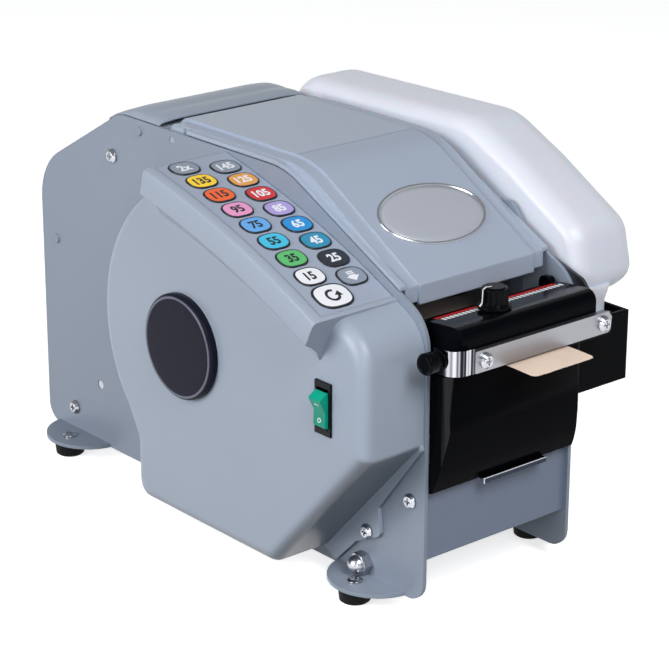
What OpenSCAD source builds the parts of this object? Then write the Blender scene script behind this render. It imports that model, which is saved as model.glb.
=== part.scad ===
// Gummed tape dispenser: two steel side plates carry a coil of paper tape, a driven
// feed roller, a cutter, a water tank with brushes and a heated lid over the outlet.
// Millimetres. +Z is up, the tape comes out towards -Y, the water bottle hangs at +X
// and the keypad housing at -X. Shapes are drawn about the middle plane between the
// plates, and at_frame() moves them so that the origin is under the middle of the box.

/* [Side plates] */
// Distance over the outer faces of the two side plates
body_w = 123; // [112:1:150]
// Length of the side plates from front edge to rear edge
plate_len = 393; // [380:1:420]
// Thickness of the side plates
plate_t = 2.5; // [2:0.5:3.5]
// Height of the level top edge of the plates
plate_top = 252; // [248:1:256]
// Radius of the rear upper corner of the plates
rear_corner_r = 42; // [20:1:60]
// Radius of the front upper corner of the plates
front_corner_r = 27; // [15:1:35]

/* [Feet] */
// Height of a rubber foot, and of the plates above the table
foot_h = 10; // [8:1:14]
// Diameter of a rubber foot
foot_d = 21; // [16:1:24]
// Reach of a foot flange out from the plate
flange_reach = 26; // [23:1:34]
// Radius of the lobe of a foot flange
flange_r = 31; // [26:1:36]

/* [Lid] */
// Height of the flat top of the lid
lid_top = 258; // [256.5:0.5:262]
// Thickness of moulded walls of the lid
lid_wall = 2.5; // [2:0.5:3]
// Height of the front lip of the lid
lid_lip = 12; // [8:1:13]
// Drop of the step down the sides of the lid
lid_step = 1.8; // [1.2:0.2:3]

/* [Side housing] */
// Depth of the side housing out from the plate
cover_depth = 46.5; // [44:0.5:56]
// Wall of the side housing
cover_wall = 2.5; // [2:0.5:3]
// How far the keypad hood stands proud of the housing's face
hood_proud = 17; // [12:1:22]
// Radius of the curved keypad face
key_curve_r = 708; // [650:1:800]
// Thickness of the keypad hood's side band
hood_t = 17; // [14:1:20]
// Diameter of the round badge on the side
badge_d = 68; // [50:1:80]

/* [Keys] */
// Width of a key across the keypad
key_w = 20; // [16:0.5:21]
// Length of a key along the keypad
key_l = 15.6; // [13:0.2:16]
// Distance between rows of keys
key_pitch = 17.85; // [17.6:0.05:18.2]
// Travel of a key
key_travel = 0.5; // [0.3:0.1:0.6]

/* [Heater and outlet] */
// Width of the heater housing
heater_w = 110; // [100:1:112]
// Length of the stainless bar
bar_l = 113; // [105:1:118]
// Height of the stainless bar
bar_h = 13.5; // [12:0.5:15]
// Diameter of the heat control knob
knob_d = 16.6; // [14:0.2:18]
// Height of the tape's underside at the outlet
tape_z = 160.3; // [160:0.1:160.6]

/* [Tape] */
// Width of the paper tape
tape_w = 50; // [38:1:76]
// Radius of a full coil of tape
coil_r = 92; // [70:1:95]
// Radius of the coil's core
core_r = 19; // [12:1:25]
// Length of tape that stands out in front of the bar
tape_out = 21; // [10:1:60]

/* [Water] */
// Thickness of the water bottle
bottle_t = 51; // [44:1:56]
// Rounding of the bottle's long edges
bottle_round = 13; // [8:1:18]
// Wall of the water tank
tank_wall = 2.5; // [2:0.5:3.5]
// Radius of the bottle's neck
neck_r = 10; // [8:0.5:10.5]

/* [Drive] */
// Radius of the feed roller
feed_r = 20; // [16:1:22]
// Radius of the pressure roller
pinch_r = 10; // [8:1:11]
// Module of the drive gears
gear_module = 1.2; // [1:0.1:1.3]
// Teeth of the gear on the feed roller
gear_teeth = 40; // [36:4:40]
// Teeth of the motor pinion
pinion_teeth = 10; // [10:1:12]

/* [Hidden] */

$fn = 48;
tiny = 0.01;

// Clearances
run_gap = 0.05;
slip_gap = 0.3;
key_gap = 0.2;

// Sides of the machine
half_w = body_w / 2;
in_x = half_w - plate_t;
front_y = -190;
rear_y = front_y + plate_len;

// Plate outline: rear slope, level top, front slope
top_rear_y = rear_y - 94;
rear_slope_z = plate_top - 54;
bend_y = -60;
nose_z = plate_top - 63.6;

// Lid
hinge_y = 52;
hinge_z = 246;
hinge_r = lid_top - hinge_z;
lid_front_y = -167;
lid_bend_y = -71.8;
lid_nose_z = 202.8;
lid_half = in_x - 12;
lid_shoulder = in_x - 2.5;
lid_back = 2;
crease_y = -56;
crease = 0.4;
rail_half = half_w - 1;
lid_seat = 0.6;
rail_h = 2.6;
pin_r = 2.5;

// Rear cover
cover_edge_y = hinge_y + hinge_r + 1.6;
bridge_h = 4.6;

// Keypad face, an arc about a far centre below the machine
key_centre = [145, -441];
key_first_s = 7.6;
key_column = 12.75;
key_mid_x = -half_w - 26.35;
key_shift = 8.2;
pad_start = 102.26;
pad_end = 115.55;
pad_rear = pad_start - 0.1;
pad_t = 1.2;
key_proud = 0.6;
pad_sink = 0.3;
pad_in_x = -half_w - 0.5;
pad_out_x = -half_w - 55.3;
hood_x = -half_w - cover_depth - hood_proud;

// Side housing
face_x = -half_w - cover_depth;
arc_centre = [-34, 141];
arc_r = 102.5;
cover_base_z = 19;
cover_front_y = front_y + 2;
cover_rear_y = 36;
diag_z = 112;
diag_y = -103;
edge_r = 9;

// Switch
switch_y = -153;
switch_z = 137.5;
switch_w = 14;
switch_h = 33;
bezel_t = 1.5;
rocker_w = 10.4;
rocker_h = 26;
rocker_tilt = 12;
rocker_axis_x = face_x + 3;

// Tape path
tape_t = 0.3;
feed_y = -118;
feed_z = tape_z - feed_r - slip_gap;
pinch_z = tape_z + tape_t + pinch_r + slip_gap;
cut_y = -140;
tape_x = 4;
coil_y = 88;
coil_z = 142;
roller_r = 10;
roller_gap = 0.3;
guide_y = -94;
guide_r = 4;
guide_z = tape_z + tape_t + guide_r + 0.3;
gear_r = gear_module * gear_teeth / 2;
pinion_r = gear_module * pinion_teeth / 2;
gear_gap = 0.25;
gear_t = 8;
gear_x = -half_w - 11;
shaft_r = 4;

// Heater
heater_front_y = -212;
heater_top = 189.5;
heater_pin = [-171, 184];
bar_y = heater_front_y - 2.5;
bar_t = 1.5;
bar_z = 162;
bar_x0 = -48;
screw_r = 2.5;
head_r = 4.75;
head_h = 3.2;
bar_screw_x = [bar_x0 + 8, bar_x0 + bar_l - 7.5];
bar_screw_z = bar_z + bar_h / 2;
latch_y = -204.5;
latch_z = 171.5;
knob_x = -12.5;
knob_y = -194;
knob_z = heater_top - 0.4;

// Tank, bottle and bracket
tank_z = 118;
trough_top = 157;
well_top = 163;
tank_right = 100;
well_front_y = -197.5;
tank_rear_y = -152;
bracket_t = 1.8;
bottle_x0 = half_w + 4.5;
bottle_x1 = bottle_x0 + bottle_t;
neck_x = half_w + 22;
neck_y = -178.5;
cap_r = neck_r + 3;
cap_z = 131;

// Fasteners
tie_r = 5;
stud_r = 4;
nut_af = 13;
foot_x = half_w + flange_reach / 2;
foot_y = [front_y + 47, rear_y - 43];
tie_low = [-137.5, 19.6];
tie_rear = [rear_y - 33, 28];
tie_top = [117, 222];

// Extremes of the whole object, which place the origin
tip_y = bar_y - bar_t - tape_out;
at_x = -(bottle_x1 + hood_x) / 2;
at_y = -(rear_y + tip_y) / 2;

module at_frame() {
    translate([at_x, at_y, 0]) children();
}

// ---- helpers ----

function unit(v) = v / norm(v);
function reverse(list) = [for (i = [len(list) - 1 : -1 : 0]) list[i]];

// Points of an arc about centre c
function arc_pts(c, r, a0, a1, n) =
    [for (i = [0 : n]) c + r * [cos(a0 + (a1 - a0) * i / n), sin(a0 + (a1 - a0) * i / n)]];

// One rounded corner at b between neighbours a and c
function corner(a, b, c, r, n) =
    r <= 0 ? [b] :
    let (
        u = unit(a - b),
        v = unit(c - b),
        half = acos(u * v) / 2,
        m = b + unit(u + v) * r / sin(half),
        p = b + u * r / tan(half),
        q = b + v * r / tan(half),
        a0 = atan2(p.y - m.y, p.x - m.x),
        a1 = atan2(q.y - m.y, q.x - m.x),
        sweep = (a1 - a0 + 540) % 360 - 180
    )
    [for (i = [0 : n]) m + r * [cos(a0 + sweep * i / n), sin(a0 + sweep * i / n)]];

// Closed outline with a radius at each corner; each row is [x, y, radius]
function rounded(rows, n = 7) =
    let (k = len(rows), p = [for (w = rows) [w[0], w[1]]])
    [for (i = [0 : k - 1]) each corner(p[(i + k - 1) % k], p[i], p[(i + 1) % k], rows[i][2], n)];

// Open line with rounded inner corners
function rounded_line(rows, n = 7) =
    let (k = len(rows), p = [for (w = rows) [w[0], w[1]]])
    [for (i = [0 : k - 1])
        each (i == 0 || i == k - 1 ? [p[i]] : corner(p[i - 1], p[i], p[i + 1], rows[i][2], n))];

// A closed counter-clockwise outline drawn in by d
function inset(p, d) =
    let (k = len(p))
    [for (i = [0 : k - 1])
        let (
            e0 = unit(p[i] - p[(i + k - 1) % k]),
            e1 = unit(p[(i + 1) % k] - p[i]),
            n0 = [-e0.y, e0.x],
            n1 = [-e1.y, e1.x]
        )
        p[i] + d * (n0 + n1) / (1 + n0 * n1)];

// Extrude a [Y, Z] shape along X
module x_extrude(x0, x1) {
    translate([x0, 0, 0]) rotate([90, 0, 90]) linear_extrude(x1 - x0) children();
}

// Extrude an [X, Z] shape along Y
module y_extrude(y0, y1) {
    translate([0, y1, 0]) rotate([90, 0, 0]) linear_extrude(y1 - y0) children();
}

module x_rod(x0, x1, r, y, z) {
    translate([x0, y, z]) rotate([0, 90, 0]) cylinder(h = x1 - x0, r = r);
}

module y_rod(y0, y1, r, x, z) {
    translate([x, y1, z]) rotate([90, 0, 0]) cylinder(h = y1 - y0, r = r);
}

module box(a, b) {
    translate(a) cube(b - a);
}

module both_sides() {
    children();
    mirror([1, 0, 0]) children();
}

// Skin over a stack of rings of points, closed at both ends
module loft(rings) {
    k = len(rings);
    n = len(rings[0]);
    points = [for (ring = rings) each ring];
    sides = [for (j = [0 : k - 2]) for (i = [0 : n - 1])
        let (a = j * n + i, b = j * n + (i + 1) % n)
        each [[a, b, b + n], [a, b + n, a + n]]];
    first = [for (i = [n - 1 : -1 : 0]) i];
    last = [for (i = [0 : n - 1]) (k - 1) * n + i];
    polyhedron(points, concat(sides, [first, last]));
}

// Pan head screw along X: head outside the plane x, shank inside
module x_screw(x, y, z, side, shank) {
    translate([x, y, z]) rotate([0, side * 90, 0]) pan_screw(shank);
}

// Pan head screw standing on z = 0, head up and hh high, with a cross recess
module pan_screw(shank, hh = head_h) {
    difference() {
        union() {
            translate([0, 0, -shank]) cylinder(h = shank, r = screw_r);
            cylinder(h = hh * 0.45, r = head_r);
            translate([0, 0, hh * 0.45]) cylinder(h = hh * 0.55, r1 = head_r, r2 = head_r * 0.7);
        }
        translate([-0.6, -head_r * 0.5, hh * 0.5]) cube([1.2, head_r, 3]);
        translate([-head_r * 0.5, -0.6, hh * 0.5]) cube([head_r, 1.2, 3]);
    }
}

// ---- outlines ----

function plate_outline() = rounded([
    [front_y, foot_h, 13],
    [rear_y, foot_h, 13],
    [rear_y, rear_slope_z, rear_corner_r],
    [top_rear_y, plate_top, 25],
    [bend_y, plate_top, 60],
    [front_y, nose_z, front_corner_r]
]);

// Height of a plate's front slope at y
function plate_line(y) = plate_top - (bend_y - y) * (plate_top - nose_z) / (bend_y - front_y);

// Top edge of a plate from the lid's front to the hinge, raised by h
function plate_edge(h, y_end) = rounded_line([
    [lid_front_y + lid_back, plate_line(lid_front_y + lid_back) + h, 0],
    [bend_y, plate_top + h, 60],
    [y_end, plate_top + h, 0]
]);

// Top of the lid from its front to the hinge, lowered by d
function lid_line(d, y_end) = rounded_line([
    [lid_front_y, lid_nose_z - d, 0],
    [lid_bend_y, lid_top - crease - d, 57],
    [y_end, lid_top - crease - d, 0]
], 9);

// The lid's line with its front edge moved back, for the shoulders beside the lip
function lid_line_back(d, y_end) =
    let (slope = (lid_top - crease - lid_nose_z) / (lid_bend_y - lid_front_y))
    rounded_line([
        [lid_front_y + lid_back, lid_nose_z + lid_back * slope - d, 0],
        [lid_bend_y, lid_top - crease - d, 57],
        [y_end, lid_top - crease - d, 0]
    ], 9);

function pad_point(a, depth) = key_centre + (key_curve_r - depth) * [cos(a), sin(a)];
function pad_arc(a0, a1, depth, n = 12) = arc_pts(key_centre, key_curve_r - depth, a0, a1, n);

// Side housing outline, drawn in by d, with the keypad face lowered by dk
function cover_outline(d, dk) =
    let (
        pad = pad_arc(pad_start + 2.24, pad_end + 0.9, dk),
        nose = pad[len(pad) - 1],
        front = rounded([
            [nose.x, nose.y, 0],
            [cover_front_y + d, nose.y - 8.8, front_corner_r - d],
            [cover_front_y + d, diag_z + d * 0.5, 6],
            [diag_y + d * 0.4, cover_base_z + d, 8],
            [cover_rear_y - d, cover_base_z + d, edge_r],
            [cover_rear_y - d, cover_base_z + 42, 14],
            [46.8 - d, 78, 0]
        ])
    )
    concat(
        pad,
        [for (i = [1 : len(front) - 2]) front[i]],
        arc_pts(arc_centre, arc_r - d, -37.5, 86, 26)
    );

// ---- frame ----

module plate_blank() {
    x_extrude(-half_w, -half_w + plate_t) polygon(plate_outline());
    for (y = foot_y)
        translate([0, y, 0]) intersection() {
            translate([-half_w + flange_r - flange_reach, 0, foot_h]) cylinder(h = plate_t, r = flange_r);
            box([-half_w - flange_reach, -flange_r, 0], [-half_w + plate_t, flange_r, 40]);
        }
    for (p = [[87, 245], [186, 148]])
        x_rod(-half_w - 1.4, -half_w + 1, 3.2, p.x, p.y);
}

module plate_holes() {
    x_rod(-half_w - 1, -in_x + 1, pin_r + run_gap, hinge_y, hinge_z);
    x_rod(-half_w - 1, -in_x + 1, pin_r + run_gap, heater_pin.x, heater_pin.y);
    x_rod(-half_w - 1, -in_x + 1, stud_r + 0.2, tie_low.x, tie_low.y);
    for (p = [tie_rear, tie_top, [guide_y, guide_z]])
        x_rod(-half_w - 1, -in_x + 1, screw_r + 0.1, p.x, p.y);
    x_rod(-half_w - 1, -in_x + 1, shaft_r + run_gap, feed_y, feed_z);
    x_rod(-half_w - 1, -in_x + 1, 3 + run_gap, feed_y, pinch_z);
    x_rod(-half_w - 1, -in_x + 1, screw_r + 0.1, front_y + 12, 74);
    for (s = [-1, 1])
        x_rod(-half_w - 1, -in_x + 1, 3 + run_gap, roller_y(s), roller_z());
    for (y = foot_y)
        translate([-foot_x, y, 0]) cylinder(h = 40, r = screw_r + 0.1);
}

function roller_y(s) = coil_y + s * (coil_r + roller_r + roller_gap) * sin(30);
function roller_z() = coil_z - (coil_r + roller_r + roller_gap) * cos(30);

module left_side_plate() {
    color("slategray") at_frame() difference() {
        plate_blank();
        plate_holes();
        x_rod(-half_w - 1, -in_x + 1, screw_r + 0.1, -143, 43);
    }
}

module right_side_plate() {
    color("slategray") at_frame() mirror([1, 0, 0]) difference() {
        union() {
            plate_blank();
            // small tab beside the lid
            x_extrude(-half_w - bracket_t, -half_w + 0.7) polygon(rounded([
                [-112, 211, 0], [-116, 222.4, 3], [-122, 224.6, 4],
                [-132, 224.6, 5], [-139, 217, 4], [-142, 211, 0]
            ], 4));
        }
        plate_holes();
    }
}

module front_panel() {
    y0 = front_y + 3;
    color("lightsteelblue") at_frame() difference() {
        union() {
            box([-in_x, y0, 37], [in_x, y0 + 2, 98]);
            box([-in_x, y0, 37], [in_x, y0 + 38, 39]);
            both_sides() box([-in_x, y0, 37], [-in_x + 2, y0 + 20, 98]);
        }
        both_sides() x_rod(-in_x - 1, -in_x + 4, screw_r + 0.1, front_y + 12, 74);
    }
}

module rear_cover() {
    band = [
        [cover_edge_y, plate_top - 1, 0],
        [top_rear_y - 0.5, plate_top - 1, 24],
        [rear_y - 1, rear_slope_z - 1, rear_corner_r - 1],
        [rear_y - 1, 34, 0]
    ];
    inner = [
        [cover_edge_y, plate_top - 1 - lid_wall, 0],
        [top_rear_y - 1.2, plate_top - 1 - lid_wall, 22],
        [rear_y - 1 - lid_wall, rear_slope_z - 2.4, rear_corner_r - 1 - lid_wall],
        [rear_y - 1 - lid_wall, 34, 0]
    ];
    crown = [
        [cover_edge_y, plate_top - 1.5, 0],
        [cover_edge_y, plate_top + bridge_h, 1.2],
        [cover_edge_y + 17, plate_top + bridge_h + 1.6, 12],
        [top_rear_y - 6, plate_top + bridge_h + 1, 14],
        [top_rear_y + 12, plate_top - 4.4, 1.2],
        [top_rear_y + 12, plate_top - 9.6, 0],
        [top_rear_y, plate_top - 2, 0]
    ];
    color("lightsteelblue") at_frame() difference() {
        union() {
            x_extrude(-in_x, in_x) polygon(concat(rounded_line(band), reverse(rounded_line(inner))));
            x_extrude(-in_x, in_x) polygon(rounded(crown, 5));
            both_sides() {
                x_extrude(-half_w, -in_x) difference() {
                    polygon(rounded(crown, 5));
                    translate([0, 0.4]) polygon(plate_outline());
                }
                x_extrude(-in_x, -in_x + 2) polygon(rounded([
                    [98, plate_top - 2, 0], [106, 213, 8], [128, 213, 8], [138, 232.5, 0]
                ], 5));
                x_rod(-in_x, -in_x + 9, tie_r, tie_top.x, tie_top.y);
            }
        }
        both_sides() x_rod(-in_x - 1, -in_x + 9, screw_r + 0.1, tie_top.x, tie_top.y);
    }
}

module coil_basket() {
    r = coil_r + 23;
    a0 = 200;
    a1 = 322;
    c = [coil_y, coil_z];
    color("gray") at_frame() x_extrude(-in_x, in_x)
        polygon(concat(arc_pts(c, r, a0, a1, 24), reverse(arc_pts(c, r + 2, a0, a1, 24))));
}

module tie_rod(p) {
    difference() {
        x_rod(-in_x, in_x, tie_r, p.x, p.y);
        both_sides() x_rod(-in_x - 1, -in_x + 12, screw_r + 0.1, p.x, p.y);
    }
}

module cap_nut() {
    rotate([0, -90, 0]) difference() {
        union() {
            rotate(30) cylinder(h = 6.5, r = nut_af / sqrt(3), $fn = 6);
            translate([0, 0, 6.5]) intersection() {
                sphere(r = nut_af / 2 - 0.3);
                cylinder(h = 10, r = 10);
            }
        }
        translate([0, 0, -1]) cylinder(h = 7, r = stud_r + run_gap);
    }
}

module tie_rods() {
    color("silver") at_frame() {
        tie_rod(tie_rear);
        difference() {
            x_rod(-in_x, in_x, guide_r, guide_y, guide_z);
            both_sides() x_rod(-in_x - 1, -in_x + 12, screw_r + 0.1, guide_y, guide_z);
        }
        x_rod(-in_x, in_x, tie_r, tie_low.x, tie_low.y);
        both_sides() x_rod(-half_w - 5, -in_x, stud_r, tie_low.x, tie_low.y);
        both_sides() translate([-half_w, tie_low.x, tie_low.y]) cap_nut();
    }
}

module rubber_foot() {
    difference() {
        rotate_extrude() polygon([
            [0, 0], [foot_d / 2 - 2, 0], [foot_d / 2 - 0.8, 1],
            [foot_d / 2, foot_h - 2], [foot_d / 2, foot_h], [0, foot_h]
        ]);
        translate([0, 0, foot_h - 8]) cylinder(h = 9, r = screw_r + 0.1);
        translate([0, 0, -1]) cylinder(h = 2, r = 4);
    }
}

module rubber_feet() {
    color("black") at_frame() both_sides() for (y = foot_y)
        translate([-foot_x, y, 0]) rubber_foot();
}

module frame_screws() {
    color("silver") at_frame() {
        both_sides() {
            for (p = [tie_rear, tie_top, [guide_y, guide_z]])
                x_screw(-half_w, p.x, p.y, -1, plate_t + 7);
            x_screw(-half_w, front_y + 12, 74, -1, plate_t + 2);
            for (y = foot_y)
                translate([-foot_x, y, foot_h + plate_t]) pan_screw(plate_t + 6, 2);
        }
        x_screw(-half_w - 3, -143, 43, -1, 3 + plate_t);
    }
}

// ---- side housing ----

// Rings of the housing from the plate out to the rounded face
function cover_rings() =
    let (n = 6)
    concat(
        [[for (p = cover_outline(0, 0.7)) [-half_w, p.x, p.y]]],
        [for (j = [0 : n])
            let (a = 90 * j / n, d = edge_r * (1 - cos(a)))
            [for (p = cover_outline(d, d + 2)) [face_x + edge_r * (1 - sin(a)), p.x, p.y]]]
    );

// Section of the hood at arc angle a, top lowered by drop and side drawn in by back
function hood_ring(a, drop, back) =
    let (
        x = hood_x + back,
        rows = [
            [-half_w, drop], [x + 3.2, drop], [x + 0.8, drop + 0.9], [x, drop + 3],
            [x, hood_t], [x + 6, hood_t + 3.5], [x + 12, hood_t + 9],
            [face_x + back * 0.3, hood_t + 17], [face_x + 8, hood_t + 19], [-half_w, hood_t + 19]
        ]
    )
    [for (w = rows) let (p = pad_point(a, w[1])) [w[0], p.x, p.y]];

// Hood that carries the keypad, rounded at its rear end and at the foot of its front end
module hood() {
    a0 = pad_start - 0.46;
    a1 = pad_end + 0.31;
    n = 5;
    rear = [for (j = [0 : n]) let (t = 90 * j / n)
        hood_ring(a0 + 0.5 * (1 - cos(t)), 6 * (1 - sin(t)), 6 * (1 - sin(t)))];
    along = [for (i = [1 : 12]) hood_ring(a0 + 0.5 + (a1 - a0 - 0.5) * i / 12, 0, 0)];
    loft([for (ring = concat(rear, along)) reverse(ring)]);
}

module side_cover() {
    flange = [
        [cover_front_y + 3, diag_z + 6, 0],
        [cover_front_y - 1.6, diag_z - 2, 3],
        [diag_y - 49, 61, 3],
        [diag_y - 51.5, 43, 5],
        [diag_y - 29.5, 32.5, 6],
        [diag_y - 10, 12.8, 2],
        [diag_y + 4, cover_base_z + 2, 0]
    ];
    color("lightsteelblue") at_frame() difference() {
        union() {
            loft(cover_rings());
            hood();
            x_extrude(-half_w - 3, -half_w) polygon(rounded(flange, 4));
        }
        // the hollow, open towards the plate
        x_extrude(face_x + cover_wall, -half_w + 1)
            polygon(cover_outline(cover_wall + 2, cover_wall + 4));
        // recess for the keypad panel
        x_extrude(pad_out_x - key_gap, -half_w + 1) polygon(concat(
            pad_arc(pad_rear, pad_end, -3),
            reverse(pad_arc(pad_rear, pad_end, pad_t + pad_sink))
        ));
        // opening for the power switch
        box([face_x - 1, switch_y - 6.6, switch_z - 14], [face_x + 8, switch_y + 6.6, switch_z + 14]);
        // opening for the power inlet
        box([inlet_x - 13.6, cover_rear_y - 8, inlet_z - 10.1],
            [inlet_x + 13.6, cover_rear_y + 1, inlet_z + 10.1]);
        x_rod(-half_w - 4, -half_w + 1, screw_r + 0.1, -143, 43);
        x_rod(face_x - 1, face_x + 4, 4.1, badge_y, badge_z);
    }
}

badge_y = -19;
badge_z = 138;
inlet_x = -half_w - 22;
inlet_z = 41;

module side_badge() {
    r = badge_d / 2;
    color("black") at_frame() translate([face_x, badge_y, badge_z]) rotate([0, -90, 0]) {
        rotate_extrude() polygon(concat(
            [[0, 0], [r - 0.8, 0], [r, 1]],
            arc_pts([r - 3, 2.6], 3, 0, 90, 6),
            [[r - 5, 5.2], [0, 5.2]]
        ));
        translate([0, 0, -cover_wall]) cylinder(h = cover_wall, r = 4);
    }
}

module switch_bezel() {
    depth = 17;
    color("black") at_frame() difference() {
        union() {
            box([face_x - bezel_t, switch_y - switch_w / 2, switch_z - switch_h / 2],
                [face_x, switch_y + switch_w / 2, switch_z + switch_h / 2]);
            box([face_x, switch_y - 6.4, switch_z - 13.8], [face_x + depth, switch_y + 6.4, switch_z + 13.8]);
            for (k = [-1, 0, 1])
                box([face_x + depth, switch_y - 3, switch_z + 9 * k - 0.4],
                    [face_x + depth + 8, switch_y + 3, switch_z + 9 * k + 0.4]);
        }
        box([face_x - 3, switch_y - rocker_w / 2 - 0.1, switch_z - 12.6],
            [face_x + 13, switch_y + rocker_w / 2 + 0.1, switch_z + 12.6]);
    }
}

module switch_rocker() {
    s = rocker_h / 2;
    color("seagreen") at_frame() translate([rocker_axis_x, 0, switch_z]) rotate([0, -rocker_tilt, 0])
        y_extrude(switch_y - rocker_w / 2, switch_y + rocker_w / 2) polygon(rounded([
            [-2.5, s - 1.2, 0.8],
            [-9.2, s - 3.6, 1.2],
            [-6.6, 0, 0],
            [-9.2, -s + 3.6, 1.2],
            [-2.5, -s + 1.2, 0.8],
            [3, -5, 2],
            [3, 5, 2]
        ], 3));
    color("seagreen") at_frame()
        y_rod(switch_y - rocker_w / 2, switch_y + rocker_w / 2, 3.8, rocker_axis_x, switch_z);
}

// ---- keypad ----

// Arc angle of the point s along the keypad from its rear edge
function key_angle(s) = pad_start + s / key_curve_r * 180 / PI;

// Stand children on the keypad face at s along it and x across, +Y of the child up the slope
module on_pad(x, s, depth) {
    a = key_angle(s);
    translate([x, pad_point(a, depth).x, pad_point(a, depth).y]) rotate([a - 90, 0, 0]) children();
}

module key_shape(w, l) {
    polygon(rounded([
        [-w / 2, -l / 2, l * 0.44], [w / 2, -l / 2, l * 0.44],
        [w / 2, l / 2, l * 0.44], [-w / 2, l / 2, l * 0.44]
    ], 5));
}

// Column 0 is the outer one, column 1 the one beside the plate
function key_x(column) = key_mid_x + (column == 0 ? -key_column : key_column);
function key_s(column, row) = key_first_s + row * key_pitch + (column == 0 ? 0 : key_shift);
wide_w = 26;
wide_l = 20;
wide_x = 2.3;
wide_s = key_first_s + 8 * key_pitch + 1.2;

module key_cap(column, row) {
    on_pad(key_x(column), key_s(column, row), pad_sink - key_proud + pad_t)
        linear_extrude(pad_t) key_shape(key_w, key_l);
}

module keypad_panel() {
    color("lightsteelblue") at_frame() difference() {
        x_extrude(pad_out_x, pad_in_x) polygon(concat(
            pad_arc(pad_rear + 0.02, pad_end - 0.02, pad_sink),
            reverse(pad_arc(pad_rear + 0.02, pad_end - 0.02, pad_sink + pad_t))
        ));
        for (column = [0, 1]) for (row = [0 : 7])
            on_pad(key_x(column), key_s(column, row), 6)
                linear_extrude(9) key_shape(key_w + 2 * key_gap, key_l + 2 * key_gap);
        on_pad(key_x(0) + wide_x, wide_s, 6)
            linear_extrude(9) key_shape(wide_w + 2 * key_gap, wide_l + 2 * key_gap);
    }
}

module key_wide() {
    on_pad(key_x(0) + wide_x, wide_s, pad_sink - key_proud + pad_t)
        linear_extrude(pad_t) key_shape(wide_w, wide_l);
}

module key_double() { color("gray") at_frame() key_cap(0, 0); }
module key_135() { color("gold") at_frame() key_cap(0, 1); }
module key_115() { color("orangered") at_frame() key_cap(0, 2); }
module key_95() { color("plum") at_frame() key_cap(0, 3); }
module key_75() { color("cornflowerblue") at_frame() key_cap(0, 4); }
module key_55() { color("deepskyblue") at_frame() key_cap(0, 5); }
module key_35() { color("mediumseagreen") at_frame() key_cap(0, 6); }
module key_15() { color("white") at_frame() key_cap(0, 7); }
module key_repeat() { color("white") at_frame() key_wide(); }
module key_145() { color("gray") at_frame() key_cap(1, 0); }
module key_125() { color("sandybrown") at_frame() key_cap(1, 1); }
module key_105() { color("firebrick") at_frame() key_cap(1, 2); }
module key_85() { color("mediumpurple") at_frame() key_cap(1, 3); }
module key_65() { color("dodgerblue") at_frame() key_cap(1, 4); }
module key_45() { color("teal") at_frame() key_cap(1, 5); }
module key_25() { color("black") at_frame() key_cap(1, 6); }
module key_feed() { color("gray") at_frame() key_cap(1, 7); }

// ---- lid ----

module between(upper, lower) {
    polygon(concat(upper, reverse(lower)));
}

module lid_side() {
    low = lid_step + 2.4;
    // upper riser and shoulder
    x_extrude(-lid_half, -lid_half + 2.2) between(lid_line(0.5, hinge_y), lid_line(low, hinge_y));
    x_extrude(-lid_shoulder, -lid_half + 2.2)
        between(lid_line_back(lid_step, hinge_y), lid_line_back(low, hinge_y));
    // lower riser
    x_extrude(-lid_shoulder, -lid_shoulder + 2.2)
        between(lid_line_back(lid_step, hinge_y), plate_edge(lid_seat, hinge_y));
    // outer rail, cut short of the hinge
    x_extrude(-rail_half, -lid_shoulder + 1)
        between(plate_edge(lid_seat + rail_h, hinge_y - 14), plate_edge(lid_seat, hinge_y - 14));
    // lip of the shoulder
    x_extrude(-lid_shoulder, -lid_half + 1) polygon([
        [lid_front_y + lid_back, lid_nose_z - lid_lip + 1.3],
        [lid_front_y + lid_back + lid_wall, lid_nose_z - lid_lip + 1.3],
        [lid_front_y + lid_back + lid_wall, lid_nose_z - lid_step],
        [lid_front_y + lid_back, lid_nose_z - lid_step]
    ]);
    // hinge ear and pin
    x_extrude(-in_x + 0.4, -in_x + 4) polygon(rounded([
        [hinge_y - 9, plate_top - 4, 0], [hinge_y - 5, hinge_z - 6, 5], [hinge_y + 6, hinge_z - 6, 5],
        [hinge_y + 6, hinge_z + 5, 5], [hinge_y, lid_top - 3, 0], [hinge_y - 9, lid_top - 3, 0]
    ], 5));
    x_rod(-half_w + slip_gap, -in_x + 3, pin_r, hinge_y, hinge_z);
}

// Rolled edge about the hinge line
module lid_roll(x0, x1, r) {
    intersection() {
        difference() {
            x_rod(x0, x1, r, hinge_y, hinge_z);
            x_rod(x0 - 1, x1 + 1, r - lid_wall, hinge_y, hinge_z);
        }
        box([x0, hinge_y, hinge_z - 2], [x1, hinge_y + hinge_r, lid_top]);
    }
}

module lid() {
    color("lightsteelblue") at_frame() {
        x_extrude(-lid_half, lid_half)
            between(lid_line(0, hinge_y), lid_line(lid_wall, hinge_y));
        // level pad behind the crease
        box([-lid_half, crease_y, lid_top - 1.5], [lid_half, hinge_y, lid_top]);
        // front lip
        box([-lid_half, lid_front_y, lid_nose_z - lid_lip], [lid_half, lid_front_y + lid_wall, lid_nose_z]);
        lid_roll(-lid_half, lid_half, hinge_r);
        both_sides() lid_roll(-lid_shoulder, -lid_half + 1, hinge_r - lid_step - crease);
        both_sides() lid_side();
    }
}

// ---- heater, bar and latch ----

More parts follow.
